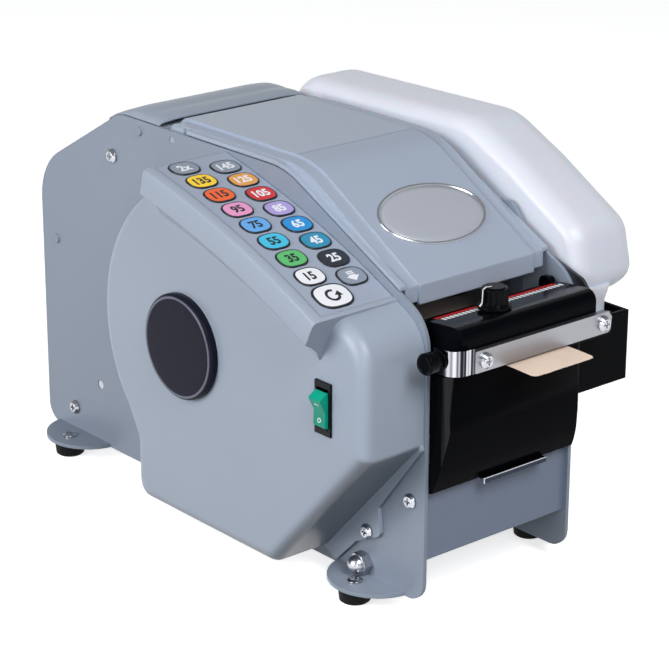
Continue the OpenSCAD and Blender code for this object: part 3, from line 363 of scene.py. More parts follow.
black_gloss = moulding("black_gloss", 0.10, 0.00005, 0.0012, 0.02)
black_housing = moulding("black_housing", 0.09, 0.00005, 0.0012, 0.022, top=0.5)
black_cover = moulding("black_cover", 0.10, 0.00004, 0.0, 0.010, corner=0.35)
black_knob = moulding("black_knob", 0.08, 0.00003, 0.0006, 0.05)
black_satin = moulding("black_satin", 0.30, 0.00003, 0.0004, 0.12)
rubber = moulding("rubber", 0.55, 0.00002, 0.0006, 0.12)
disc_navy = moulding("disc_navy", 0.16, 0.00002, 0.0004, 0.05, NAVY)
print("black finishes made")

# %% [markdown]
# ## Metals
#
# The guard bar is brushed along its length: streaks in the roughness and in a very shallow
# bump, made by noise whose coordinates are scaled unevenly. The screws are bright plated,
# with a little clouding. The clip is a bent chrome strip with dark and bright bands of
# painted reflection in its colour, standing for what a bent mirror reflects.

# %% Metal finishes


def metal(name, colour, roughness, streak, edge, grain=(1.0, 1.0, 1.0)):
    """A bare metal: streaks of noise stretched by grain, and clouded polish."""
    finish = Finish(name, Metallic=1.0)
    lines = finish.noise(900.0, 3.0, 0.6, finish.place(scale=grain))
    cloud = finish.noise(60.0, 3.0, 0.6)
    finish.skin(Base_Color=finish.mix(scaled(colour, 0.82), colour, lines * 0.6 + cloud * 0.4),
                Roughness=roughness + lines * streak + cloud * 0.05)
    return finish.relief(lines, 0.3, 0.00001, edge)


brushed_bar = metal("brushed_bar", tint(160, 161, 166), 0.26, 0.20, 0.0004, (0.02, 1.0, 1.0))
bright_plate = metal("bright_plate", tint(186, 187, 193), 0.08, 0.05, 0.0004)
zinc_plate = metal("zinc_plate", tint(186, 188, 194), 0.20, 0.12, 0.0004)
ground_steel = metal("ground_steel", tint(176, 178, 182), 0.26, 0.15, 0.0003, (1.0, 0.03, 1.0))
turned_brass = metal("turned_brass", tint(196, 162, 92), 0.25, 0.15, 0.0002)
dark_steel = metal("dark_steel", tint(92, 94, 100), 0.30, 0.12, 0.0003)
# a dark steel that paints shade onto the drip lip's fold
painted_shade_steel = metal("painted_shade_steel", tint(44, 50, 62), 0.22, 0.10, 0.0003)
badge_rim = metal("badge_rim", tint(208, 210, 216), 0.16, 0.06, 0.0002)

clip_chrome = Finish("clip_chrome", Metallic=1.0, Roughness=0.09)
# painted reflection: sine bands along the clip darken and brighten its colour; the fine bands also
# ripple its bump
along_clip = clip_chrome.axis("X") * 1000.0
painted_bands = clip_chrome.maths("SINE", along_clip * 0.74 + 0.4)
fine_ripple_and_painted_bands = clip_chrome.maths("SINE", along_clip * 2.7)
painted_reflection = (painted_bands * 0.5 + fine_ripple_and_painted_bands * 0.35 + 0.34).smooth(-0.05, 1.0)
clip_chrome.skin(Base_Color=clip_chrome.mix(tint(30, 32, 38), tint(186, 187, 193), painted_reflection))
clip_chrome.relief(fine_ripple_and_painted_bands, 0.3, 0.0001, 0.0003)
print("metal finishes made")

# %% [markdown]
# ## Bottle and paper
#
# The bottle is blow moulded in milky polyethylene: light scatters inside it, so a little
# subsurface keeps its shadows soft, and a faint emission adds painted light to its shaded
# sides. Kraft paper is tan with darker fibres and a faint ribbing. The coil's windings are
# fine rings: noise over the distance from its axis.

# %% Bottle and paper finishes
# painted light: the faint emission makes the bottle glow a little in its shade
milky = Finish("milky_bottle", 0.4, Subsurface_Weight=0.35, Subsurface_Scale=0.02,
               Emission_Color=tint(214, 219, 232), Emission_Strength=0.16)
milky.follow(milky.noise(12.0, 3.0, 0.6), tint(190, 193, 203), tint(200, 203, 212), 0.30, 0.12)
milky.relief(milky.noise(60.0), 0.2, 0.0002)

kraft = Finish("kraft_paper", 0.2)
fibre = kraft.noise(700.0, 4.0, 0.7, kraft.place(scale=(1.0, 0.25, 1.0)))
blotch = kraft.noise(45.0, 3.0, 0.6)
ribbing = kraft.node("TexWave", {"bands_direction": "Y"},
                     {"Vector": kraft.place(), "Scale": 180.0, "Distortion": 1.2}, "Fac")
kraft.skin(Base_Color=kraft.mix(tint(216, 192, 172), tint(246, 226, 210),
                                fibre * 0.55 + blotch * 0.45),
           Roughness=0.72 + fibre * 0.15)
kraft.relief(fibre * 0.6 + ribbing * 0.4, 0.4, 0.00008)

TAPE_X = (-21.0, 29.0)
COIL_Y, COIL_Z = 88.0, 142.0
windings = Finish("wound_paper", 0.2)
from_axis = windings.place(where=tuple(-in_frame([0.0, COIL_Y, COIL_Z])))
flattened = windings.node("VectorMath", {"operation": "MULTIPLY"},
                          {0: from_axis, 1: (0.0, 1.0, 1.0)})
distance = windings.node("VectorMath", {"operation": "LENGTH"},
                         {"Vector": flattened}, "Value")
ring = windings.noise(2600.0, 2.0, 0.7,
                      windings.node("CombineXYZ", None, {"X": distance}))
windings.follow(ring, tint(160, 130, 100), tint(214, 188, 160), 0.75, 0.1)
windings.relief(ring, 0.5, 0.0001)
print("bottle and paper finishes made")

# %% [markdown]
# ## Bristle, board, switch, roller and print
#
# These small surfaces need one pattern each, which moves both colour and roughness: hairs
# along the bristles, a bloom on the rocker, grinding marks round the rubber rollers, and an
# uneven film of ink. The board has a brick pattern for its copper tracks.

# %% Small finishes
bristle = Finish("bristle", 0.3)
hair = bristle.noise(1500.0, 2.0, 0.6, bristle.place(scale=(1.0, 1.0, 0.03)))
bristle.follow(hair, tint(104, 86, 58), tint(196, 172, 128), 0.5, 0.3)
bristle.relief(hair, 0.8, 0.0004)

board_green = Finish("board_green")
tracks = board_green.node(
    "TexBrick", {"offset": 0.5},
    {"Vector": board_green.place(turn=(0.0, math.radians(90), 0.0)), "Scale": 60.0,
     "Color1": tint(12, 78, 44), "Color2": tint(16, 92, 52), "Mortar": tint(40, 124, 76),
     "Mortar Size": 0.03}, "Color")
board_green.skin(Base_Color=tracks, Roughness=0.35 + board_green.noise(200.0) * 0.1)

rocker_green = Finish("rocker_green", 0.12)
bloom = rocker_green.noise(120.0)
rocker_green.follow(bloom, tint(6, 134, 110), tint(14, 156, 130), 0.16, 0.08)
rocker_green.relief(bloom, 0.1, 0.00002, 0.0004)

roller_rubber = Finish("roller_rubber", 0.3)
ground = roller_rubber.noise(800.0, 3.0, 0.6, roller_rubber.place(scale=(1.0, 0.1, 0.1)))
roller_rubber.follow(ground, tint(28, 28, 30), tint(52, 52, 55), 0.55, 0.2)
roller_rubber.relief(ground, 0.3, 0.00003, 0.0005)


def printed_film(name, colour):
    """Printed film: a flat colour, slightly uneven, with a soft sheen."""
    finish = Finish(name, 0.4)
    return finish.follow(finish.noise(400.0), scaled(colour, 0.9), colour, 0.30, 0.1)


line_red = printed_film("line_red", tint(206, 24, 20))
line_white = printed_film("line_white", tint(236, 236, 238))
# a lighter navy for the side badge's rim: painted highlight along its edge
rim_painted_highlight = printed_film("rim_painted_highlight", tint(88, 90, 108))
badge_field = grey_body("badge_field", tint(170, 174, 184), 0.0009, 0.00001, 0.24, 0.0002, 0.5)
print("small finishes made")

# %% [markdown]
# ## Smooth shading for the CAD solids
#
# A CAD node arrives as loose triangles, which shade as facets. A small geometry nodes group
# merges their corners and smooths every edge that turns by less than about thirty degrees,
# so that cylinders look round and box corners stay crisp. As a modifier it leaves the
# frame's own mesh as it is.

# %% Shading group
CRISP = math.radians(32.0)
SAME_POINT = 1e-6


def shading_group():
    group = bpy.data.node_groups.new("smooth_by_angle", "GeometryNodeTree")
    for way in ("INPUT", "OUTPUT"):
        group.interface.new_socket("Geometry", in_out=way, socket_type="NodeSocketGeometry")
    make, link = group.nodes.new, group.links.new
    entry, leave = make("NodeGroupInput"), make("NodeGroupOutput")
    merge = make("GeometryNodeMergeByDistance")
    faces, edges = make("GeometryNodeSetShadeSmooth"), make("GeometryNodeSetShadeSmooth")
    angle, limit = make("GeometryNodeInputMeshEdgeAngle"), make("FunctionNodeCompare")
    edges.domain, limit.operation = "EDGE", "LESS_THAN"
    merge.inputs["Distance"].default_value = SAME_POINT
    limit.inputs["B"].default_value = CRISP
    link(entry.outputs[0], merge.inputs["Geometry"])
    link(merge.outputs[0], faces.inputs["Geometry"])
    link(faces.outputs[0], edges.inputs["Geometry"])
    link(angle.outputs["Unsigned Angle"], limit.inputs["A"])
    link(limit.outputs[0], edges.inputs["Shade Smooth"])
    link(edges.outputs[0], leave.inputs[0])
    return group


SMOOTH = shading_group()


def shade(piece, finish):
    """Gives a piece one material and smooth shading that stops at crisp corners."""
    piece.data.materials.clear()
    piece.data.materials.append(finish.material)
    piece.modifiers.new("smooth", "NODES").node_group = SMOOTH


CAD_FINISH = {
    moulded_grey: "side_cover",
    panel_steel_painted_shade: "front_panel",
    lid_grey: "lid",
    sprayed_steel: "left_side_plate right_side_plate",
    black_gloss: "water_tank",
    black_housing: "heater_housing",
    black_knob: "latch_knob heat_knob",
    black_cover: "front_cover",
    black_satin: "switch_bezel power_inlet",
    rubber: "rubber_feet",
    brushed_bar: "guard_bar",
    bright_plate: "bar_screws frame_screws",
    clip_chrome: "latch_clip",
    zinc_plate: ("tie_rods coil_basket drive_motor cutter_solenoid solenoid_plunger "
                 "front_coil_roller rear_coil_roller"),
    ground_steel: "heater_plate fixed_blade cutter_blade",
    dark_steel: "bottle_bracket",
    turned_brass: "drive_gear motor_pinion",
    milky: "bottle_cap",
    board_green: "control_board",
    rocker_green: "switch_rocker",
    roller_rubber: "feed_roller pinch_roller",
}
dressed = [(name, finish) for finish, names in CAD_FINISH.items() for name in names.split()]
for name, finish in dressed:
    shade(nodes[name], finish)
print("dressed", len(dressed), "CAD nodes")

# %% [markdown]
# ## Meshes from rings of points
#
# Most added pieces are a stack of closed rings: quads join each ring to the next, and a flat
# cap closes either end. A straight strip has only two rings. Meshes are written in the
# machine's millimetres and land in the frame's metres, with their objects at the origin.

# %% Mesh helpers


def arc(start, end, count, closed=True):
    """Directions from start to end degrees, as cosine and sine, with the last if closed."""
    turn = np.radians(np.linspace(start, end, count, endpoint=closed))
    return np.stack([np.cos(turn), np.sin(turn)], axis=-1)


def circle(count):
    return arc(0, 360, count, False)


def ring_faces(rows, columns):
    """The quads between closed rings of points."""
    row, column = np.arange(rows - 1)[:, None], np.arange(columns)
    first, second = row * columns + column, row * columns + (column + 1) % columns
    quads = np.stack([first, second, second + columns, first + columns], axis=-1)
    return quads.reshape(-1, 4).tolist()


def lofted(rings):
    """Points and faces of closed rings of equal count, capped flat at both ends."""
    rings = np.asarray(rings)
    rows, columns = rings.shape[:2]
    last = (rows - 1) * columns
    caps = [list(range(columns))[::-1], list(range(last, last + columns))]
    return rings.reshape(-1, 3), ring_faces(rows, columns) + caps


def upright(x, outline):
    """A ring that stands at x, from its (y, z) outline."""
    return np.column_stack([np.full(len(outline), x), outline])


def lying(outline, z):
    """A ring that lies at z, from its (x, y) outline."""
    return np.column_stack([outline, np.full(len(outline), z)])


def swept(outline, low, high):
    """A closed (y, z) outline swept straight from x = low to x = high."""
    return lofted([upright(low, outline), upright(high, outline)])


def joined(forms):
    """Several (points, faces) as one."""
    points, faces, used = [], [], 0
    for more, its_faces in forms:
        points.append(more)
        faces += [[index + used for index in face] for face in its_faces]
        used += len(more)
    return np.concatenate(points), faces


def new_piece(name, form, body, finish, replaced=None, by_angle=False, rounded=False):
    """A piece from (points, faces) that rides on a body and can stand for a CAD node.

    By_angle shades it as the CAD solids are shaded, and rounded smooth all over.
    """
    points, faces = form
    mesh = bpy.data.meshes.new(name)
    mesh.from_pydata(in_frame(points).tolist(), [], faces)
    mesh.validate()
    mesh.materials.append(finish.material)
    if rounded:
        mesh.shade_smooth()
    piece = add_object(name, mesh)
    if by_angle:
        piece.modifiers.new("smooth", "NODES").node_group = SMOOTH
    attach(piece, body)
    if replaced:
        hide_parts(replaced)
    return piece


print("mesh helpers ready")

# %% [markdown]
# ## Softened outlines
#
# An outline is drawn with sharp corners, some of them with a radius, and an arc of a few
# steps takes each such corner, as a moulding or a bent sheet has it.

# %% Outline helper
STRAIGHT = 0.01


def softened(corners, steps=8):
    """The outline of (a, b, radius) corners, with each corner turned into an arc."""
    line = []
    for index, (a, b, radius) in enumerate(corners):
        here = np.array([a, b])
        beside = corners[index - 1], corners[(index + 1) % len(corners)]
        ways = np.array(beside)[:, :2] - here
        before, after = ways / np.linalg.norm(ways, axis=1)[:, None]
        half_turn = math.acos(np.clip(np.dot(before, after), -1, 1)) / 2
        if radius == 0 or half_turn > math.pi / 2 - STRAIGHT:
            line.append(here)
            continue
        inwards = (before + after) / np.linalg.norm(before + after)
        middle = here + inwards * radius / math.sin(half_turn)
        reach = radius / math.tan(half_turn)
        first = (here + before * reach - middle) / radius
        last = (here + after * reach - middle) / radius
        sweep = math.pi - 2 * half_turn
        for share in np.linspace(0, 1, steps + 1):
            weights = math.sin((1 - share) * sweep), math.sin(share * sweep)
            toward = (first * weights[0] + last * weights[1]) / math.sin(sweep)
            line.append(middle + radius * toward)
    return np.array(line)


print("outline helper ready")

# %% [markdown]
# ## The ruled stripe
#
# A red line and a row of white ticks are printed along the back of the heated housing. They
# are films a tenth of a millimetre thick that follow the slope of its top.

# %% Ruled stripe
HOUSING_TOP = [(-212.0, 189.5), (-184.0, 187.0), (-174.0, 185.0)]
FILM, SUNK = 0.12, 0.25
RED_BAND, RED_ENDS = (-184.0, -180.4), (-49.0, 49.0)
TICK_BAND, TICK_WIDTH = (-189.0, -185.2), 1.9
TICK_STARTS = np.arange(-47.0, 52.0, 3.2)


def film_outline(y_front, y_rear):
    """The section of a film on the housing, sunk a little so that no gap shows."""
    front, rear = np.interp([y_front, y_rear], *zip(*HOUSING_TOP))
    return [(y_front, front - SUNK), (y_rear, rear - SUNK),
            (y_rear, rear + FILM), (y_front, front + FILM)]


ticks = [swept(film_outline(*TICK_BAND), x, x + TICK_WIDTH) for x in TICK_STARTS]
new_piece("heater_line_red", swept(film_outline(*RED_BAND), *RED_ENDS), "heater", line_red)
new_piece("heater_line_ticks", joined(ticks), "heater", line_white)
print("heater line:", len(ticks), "ticks")

# %% [markdown]
# ## Bare badges
#
# An oval badge lies on the lid's slope and a round one on the side of the housing. Both are
# left plain. Each is a low dome of rings inside a raised rim.

# %% Badges


def dome(centre, axes, halves, rows):
    """Rings round a centre: each row is an inset from the rim and a height outwards."""
    across, along, outward = np.asarray(axes)
    return lofted([centre + circle(96) * (np.asarray(halves) - inset) @ [across, along]
                   + height * outward for inset, height in rows])


SLOPE_FOOT, SLOPE_RISE = np.array([1.0, -167.0, 202.8]), 0.5756
run, rise = np.array([1.0, SLOPE_RISE]) / math.hypot(1.0, SLOPE_RISE)
SLOPE_AXES = np.array([(1.0, 0.0, 0.0), (0.0, run, rise), (0.0, -rise, run)])
OVAL_UP, OVAL_HALVES = 48.5, (40.7, 24.9)
OVAL_RIM = [(0.0, -0.3), (0.0, 0.5), (0.25, 0.95), (0.9, 1.2), (1.6, 1.05), (2.0, 0.6),
            (2.2, 0.4)]
OVAL_FIELD = [(2.1, 0.2), (2.2, 0.45), (6.0, 0.75), (12.0, 1.0), (18.0, 1.1), (22.0, 1.15)]
oval_centre = SLOPE_FOOT + SLOPE_AXES[1] * OVAL_UP
new_piece("oval_badge_rim", dome(oval_centre, SLOPE_AXES, OVAL_HALVES, OVAL_RIM), "lid",
          badge_rim, rounded=True)
new_piece("oval_badge_field", dome(oval_centre, SLOPE_AXES, OVAL_HALVES, OVAL_FIELD), "lid",
          badge_field, rounded=True)

DISC_CENTRE, DISC_HALVES = np.array([-108.0, -19.0, 138.0]), (34.0, 34.0)
SIDE_AXES = [(0.0, -1.0, 0.0), (0.0, 0.0, 1.0), (-1.0, 0.0, 0.0)]
DISC_FACE = [(0.0, 0.0), (0.0, 3.6), (0.4, 4.6), (1.2, 5.3), (2.2, 5.5), (3.0, 5.56),
             (10.0, 5.66), (20.0, 5.74), (30.0, 5.78), (33.5, 5.79)]
# the rim's lighter navy is painted highlight
DISC_RIM = [(1.3, 5.2), (1.9, 5.62), (2.6, 5.72), (3.2, 5.5), (3.4, 5.2)]
new_piece("side_badge_face", dome(DISC_CENTRE, SIDE_AXES, DISC_HALVES, DISC_FACE), "frame",
          disc_navy, "side_badge", rounded=True)
new_piece("side_badge_rim", dome(DISC_CENTRE, SIDE_AXES, DISC_HALVES, DISC_RIM), "frame",
          rim_painted_highlight)
print("badges on the lid and on the side")

# %% [markdown]
# ## The water bottle
#
# The bottle is blow moulded, so every edge is a full round. Its side outline is shrunk by a
# quarter ellipse towards each face. The neck hangs from the front corner into the tank's
# well.

# %% Bottle
BOTTLE_LOW, BOTTLE_HIGH = 66.0, 117.0
EDGE_DEEP, EDGE_IN = 15.0, 9.0
BOTTLE_CORNERS = [(-150, 177, 10), (84, 190, 16), (92, 263, 24), (-84, 266.5, 46),
                  (-125, 247, 34), (-181, 215, 20), (-189, 181, 14), (-176, 170, 9)]
bottle_line = softened(BOTTLE_CORNERS, 10)
ahead = np.roll(bottle_line, -1, axis=0) - np.roll(bottle_line, 1, axis=0)
inward = np.column_stack([-ahead[:, 1], ahead[:, 0]]) / np.linalg.norm(ahead, axis=1)[:, None]
edge = [(EDGE_DEEP * (1 - np.sin(turn)), EDGE_IN * (1 - np.cos(turn)))
        for turn in np.linspace(0, np.pi / 2, 9)]
bottle_rings = [upright(BOTTLE_LOW + deep, bottle_line + inward * shrink)
                for deep, shrink in edge[::-1]]
bottle_rings += [upright(BOTTLE_HIGH - deep, bottle_line + inward * shrink)
                 for deep, shrink in edge]
new_piece("bottle_shell", lofted(bottle_rings), "bottle", milky,
          "water_bottle", by_angle=True)
NECK = np.array([83.5, -178.5])
NECK_ROWS = [(10.0, 135.0), (10.0, 166.0), (10.3, 169.0), (11.0, 172.0), (12.0, 175.0),
             (12.5, 179.0)]
neck_rings = [lying(NECK + radius * circle(48), z) for radius, z in NECK_ROWS]
new_piece("bottle_neck", lofted(neck_rings), "bottle", milky, by_angle=True)
print("bottle:", len(bottle_rings), "rings")

# %% [markdown]
# ## The rear cover
#
# Behind the lid a moulded cover spans the plates. Its crown is flat in the middle and rolls
# down to the plates at both sides; along the machine it has a shallow crease and then a
# round ridge. Below the crown a band goes on down the back between the plates.

# %% Rear cover
COVER_HALF, BAND_HALF = 60.9, 58.9
FLAT_SHARE = 0.60
SHEET, LIFT = 1.3, 0.3
CROWN = [(65.8, 256.0), (68.5, 256.9), (74.0, 257.6), (80.0, 257.4), (83.0, 256.9),
         (86.0, 257.4), (92.0, 257.8), (98.0, 257.4), (103.0, 256.3), (107.5, 254.5),
         (112.0, 252.1), (116.5, 249.5), (121.0, 246.8)]
PLATE_TOP = [(60.0, 252.0), (102.3, 252.0), (106.0, 251.7), (109.0, 251.1), (112.0, 250.0),
             (115.7, 248.2), (121.0, 245.1)]
BAND = [(66.0, 251.0, 0), (108.5, 251.0, 24), (202.0, 197.0, 41), (202.0, 34.0, 0),
        (199.5, 34.0, 0), (199.5, 196.5, 39), (107.8, 248.5, 22), (66.0, 248.5, 0)]
across = np.concatenate([np.linspace(-1.0, -0.62, 11), np.linspace(-0.5, 0.5, 5),
                         np.linspace(0.62, 1.0, 11)])
roll = np.clip((np.abs(across) - FLAT_SHARE) / (1 - FLAT_SHARE), 0, 1)
sections = []
for y, middle_z in CROWN:
    side_z = np.interp(y, *zip(*PLATE_TOP)) + LIFT + SHEET
    top = side_z + (middle_z - side_z) * np.sqrt(1 - roll ** 2)
    upper = np.column_stack([across * COVER_HALF, np.full(len(across), y), top])
    sections.append(np.concatenate([upper, upper[::-1] - [0.0, 0.0, SHEET]]))
crown_and_band = [lofted(sections), swept(softened(BAND)[::-1], -BAND_HALF, BAND_HALF)]
new_piece("rear_cover_skin", joined(crown_and_band), "frame", moulded_grey,
          "rear_cover", by_angle=True)
print("rear cover:", len(sections), "sections")

# %% [markdown]
# ## The tape
#
# The strip that sticks out was torn by hand: its end is ragged by half a millimetre, its
# corners are soft and two faint creases run along it. Behind the cutter the web runs level
# over the guide rod and then straight to where it touches the coil.

# %% Tape strip and web
STRIP_REAR, STRIP_FRONT, OUTLET = -146.0, -237.0, -216.0
STRIP_TOP, STRIP_DROOP, PAPER = 160.6, 0.6, 0.3
STRIP_ROWS, STRIP_COLUMNS = 40, 61
CREASES = [(-9.0, -0.10), (17.0, 0.09)]
rng = np.random.default_rng(8)
strip_x = np.linspace(*TAPE_X, STRIP_COLUMNS)
ragged = np.convolve(rng.normal(0, 0.55, 75), np.ones(3) / 3, "same")[7:68]
from_middle = np.abs(strip_x - sum(TAPE_X) / 2)
soft_corner = 2.4 * (np.clip((from_middle - 22.5) / 2.5, 0, 1) ** 2)
end_y = STRIP_FRONT + soft_corner + 0.5 * ragged
grid_x = np.broadcast_to(strip_x, (STRIP_ROWS, STRIP_COLUMNS))
grid_y = STRIP_REAR + np.linspace(0, 1, STRIP_ROWS)[:, None] * (end_y - STRIP_REAR)
outside = np.clip((OUTLET - grid_y) / (OUTLET - STRIP_FRONT), 0, 1)
crease = sum(depth * np.exp(-((grid_x - where) / 0.5) ** 2) for where, depth in CREASES)
wave = 0.12 * np.sin(grid_x * 0.19 + 1.0) * outside
grid_z = STRIP_TOP - STRIP_DROOP * outside ** 2 + (crease + wave) * outside
upper = np.stack([grid_x, grid_y, grid_z], axis=-1)
loops = [np.concatenate([row[::-1], row - [0, 0, PAPER]]) for row in upper]
new_piece("tape_strip", lofted(loops), "frame", kraft, "gummed_tape", by_angle=True)

COIL_EDGE, COIL_GAP = 92.0, 0.7
GUIDE_END = np.array([-92.0, 160.75])
to_coil = np.array([COIL_Y, COIL_Z]) - GUIDE_END
touch = COIL_EDGE + COIL_GAP
web_angle = math.atan2(to_coil[1], to_coil[0]) + math.asin(touch / np.linalg.norm(to_coil))
web_length = math.sqrt(to_coil @ to_coil - touch ** 2)
web_end = GUIDE_END + web_length * np.array([math.cos(web_angle), math.sin(web_angle)])
web_top = np.array([(-134.0, STRIP_TOP), (-96.0, STRIP_TOP), GUIDE_END, web_end])
web_outline = np.concatenate([web_top - [0.0, PAPER], web_top[::-1]])
new_piece("tape_web", swept(web_outline, *TAPE_X), "frame", kraft)
print("web from guide to coil:", round(web_length, 1), "mm")

# %% [markdown]
# ## The coil
#
# The windings show as thin steps on both faces, because no winder stacks paper perfectly.
# The section is a line from the core out along one face and back along the other, turned
# around the axis. The core tube stands out a hair further.

# %% Wound paper
CORE, CORE_WALL, CORE_PROUD = 19.0, 2.2, 0.1
TURNS, COIL_ROUND = 60, 120
FACE_IN, STEP = 0.3, 0.22
radii = np.linspace(CORE + CORE_WALL + 0.2, COIL_EDGE, TURNS * 2)
proud = np.where(np.arange(TURNS * 2) % 2, STEP, 0.0) + rng.normal(0, 0.06, TURNS * 2)
sunk = np.maximum(0.0, FACE_IN - proud)
low, high = TAPE_X[0] - CORE_PROUD, TAPE_X[1] + CORE_PROUD
profile = [(CORE, low), (CORE + CORE_WALL, low), *zip(radii, TAPE_X[0] + sunk),
           *zip(radii[::-1], TAPE_X[1] - sunk), (CORE + CORE_WALL, high), (CORE, high),
           (CORE, low)]
coil_rings = [upright(x, radius * circle(COIL_ROUND) + [COIL_Y, COIL_Z])
              for radius, x in profile]
coil = np.concatenate(coil_rings), ring_faces(len(profile), COIL_ROUND)
new_piece("wound_coil", coil, "tape_coil", windings, "tape_coil", by_angle=True)
print("coil of", TURNS, "turns")

# %% [markdown]
# ## The brushes
#
# The brushes stand in the tank as rows of tufts. Each bristle is a thin five-sided needle
# that leans away from the middle of its tuft, and no two are cut at the same height.

# %% Bristles
TUFT_ROWS, TUFT_PITCH = (-179.5, -171.0, -162.5), 4.2
TUFT_SPREAD, LEAN = (1.2, 1.5), 0.6
HAIRS, HAIR_ROUND = 26, 5
HAIR_FOOT, HAIR_TIP = 0.24, 0.16
BRISTLE_LOW, BRISTLE_HIGH = 126.5, 158.6
BASE = [(-184.0, 120.5), (-158.0, 120.5), (-158.0, 127.4), (-184.0, 127.4)]
hair_faces = ring_faces(2, HAIR_ROUND) + [list(range(HAIR_ROUND, 2 * HAIR_ROUND))]
hairs = []
for tuft_y in TUFT_ROWS:
    for tuft_x in np.arange(-32.0, 32.5, TUFT_PITCH):
        foot = rng.uniform(-1, 1, (HAIRS, 2)) * TUFT_SPREAD + (tuft_x, tuft_y)
        head = foot + (foot - (tuft_x, tuft_y)) * LEAN + rng.normal(0, 0.15, (HAIRS, 2))
        tall = BRISTLE_HIGH - rng.uniform(0, 0.9, HAIRS)
        for start, end, top_z in zip(foot, head, tall):
            ends = ((start, BRISTLE_LOW, HAIR_FOOT), (end, top_z, HAIR_TIP))
            points = [lying(place + thick * circle(HAIR_ROUND), z) for place, z, thick in ends]
            hairs.append((np.concatenate(points), hair_faces))
new_piece("brush_tufts", joined(hairs + [swept(BASE, -36.0, 36.0)]), "frame", bristle,
          "water_brushes")
print(len(hairs), "bristles")

# %% [markdown]
# ## The drip lip
#
# The drip lip at the foot of the front cover is one folded steel strip: its fold takes a dark
# steel as painted shade, and its top edge and cut end a bright plated steel as painted
# highlight. All three are outlines swept across the machine.

# %% Drip lip
LIP_LOW, LIP_HIGH = -19.0, 33.0
LIP_FOLD = [(-196.4, 79.4), (-195.2, 79.4), (-195.2, 81.4), (-189.0, 81.4), (-189.0, 82.4),
            (-196.4, 82.4)]
LIP_EDGE = [(-196.6, 82.2), (-195.8, 82.2), (-195.6, 82.7), (-196.0, 83.0), (-196.6, 82.8)]
LIP_END = [(-196.6, 79.2), (-195.0, 79.2), (-195.0, 83.0), (-196.6, 83.0)]
# painted shade on the fold, painted highlight on the edge and the end
for part, form, finish, replaced in (
        ("fold", swept(LIP_FOLD, LIP_LOW, LIP_HIGH), painted_shade_steel, "drip_lip"),
        ("edge", swept(LIP_EDGE, LIP_LOW, LIP_HIGH), bright_plate, None),
        ("end", swept(LIP_END, LIP_LOW - 0.7, LIP_LOW + 0.2), bright_plate, None)):
    new_piece("drip_lip_" + part, form, "front_cover", finish, replaced)
print("drip lip of", LIP_HIGH - LIP_LOW, "mm")

# %% [markdown]
# ## The knob's pointer
#
# The heat knob's white pointer starts on its top and runs over the rim down to the skirt.
# It is a path of distances from the knob's axis and heights from its top, then turned to
# the knob's setting.

# %% Pointer
KNOB_X, KNOB_Y, KNOB_TOP = -12.5, -194.0, 202.1
POINTER_TURN, POINTER_HALF = math.radians(166.0), 0.45
POINTER_PATH = [(2.2, 0.12), (6.3, 0.12), (8.1, -1.2), (8.55, -9.6), (10.3, -11.2)]
upper_side = np.array(POINTER_PATH) + [0.0, KNOB_TOP]
pointer_outline = np.concatenate([upper_side - [0.5, 0.35], upper_side[::-1]])
points, pointer_faces = swept(pointer_outline, -POINTER_HALF, POINTER_HALF)
sideways, reach, height = points.T
cos, sin = math.cos(POINTER_TURN), math.sin(POINTER_TURN)
points = np.column_stack([KNOB_X + reach * cos - sideways * sin,
                          KNOB_Y + reach * sin + sideways * cos, height])
new_piece("knob_pointer", (points, pointer_faces), "heat_knob", line_white)
print("pointer set to", round(math.degrees(POINTER_TURN)), "degrees")

# %% [markdown]
# ## The rocker's marks
#
# The rocker has the usual line and ring for on and off. Its two faces meet at a fold and
# rise to a peak near each end, and the rocker is tilted, so a mark is written along and
# across a face and a function puts it in place.

# %% Rocker marks
ROCKER_X, SWITCH_Y, ROCKER_Z = -105.0, -153.0, 137.5
ROCKER_TILT = math.radians(12.0)
FOLD, TO_PEAK = -6.6, (-2.6, 9.4)
MARK_SUNK, MARK_PROUD = -0.2, 0.1
LINE_MARK = [(5.2, -1.9), (5.2, 1.9), (5.9, 1.9), (5.9, -1.9)]
RING_AT, RING_OUTER, RING_INNER = -5.4, 1.5, 1.0


def on_rocker(along, across, above):
    """A point above a face. Along is counted from the fold, and below 0 on the lower face."""
    rise, run = TO_PEAK / np.hypot(*TO_PEAK)
    x = FOLD + rise * abs(along) - run * above
    z = (run * abs(along) + rise * above) * np.sign(along)
    cos, sin = math.cos(ROCKER_TILT), math.sin(ROCKER_TILT)
    return ROCKER_X + x * cos - z * sin, SWITCH_Y + across, ROCKER_Z + x * sin + z * cos


def rocker_mark(name, outline):
    """A film on the rocker from its (along, across) outline, with edges sunk in the face."""
    rings = [[on_rocker(along, across, above) for along, across in outline]
             for above in (MARK_SUNK, MARK_PROUD)]
    new_piece(name, lofted(rings), "switch_rocker", line_white)


rocker_mark("rocker_line", LINE_MARK)
around = arc(0, 360, 25)
ring_mark = np.concatenate([around * RING_OUTER, around[::-1] * RING_INNER]) + [RING_AT, 0.0]
rocker_mark("rocker_ring", ring_mark)
print("rocker marked")

# %% [markdown]
# ## The keypad face
#
# The printed overlay lies in a shallow recess on the hood. The hood is bent to a long arc,
# so a point of the keypad is a distance along that arc and a distance across it. Its
# overlay is thin polyester with a fine matt grain and sits a hair below the rim.

# %% Keypad face
KEYPAD_CENTRE, KEYPAD_RADIUS = (145.0, -441.0), 708.0
KEYPAD_START = math.radians(102.26)
OVERLAY_DEPTH = 0.3


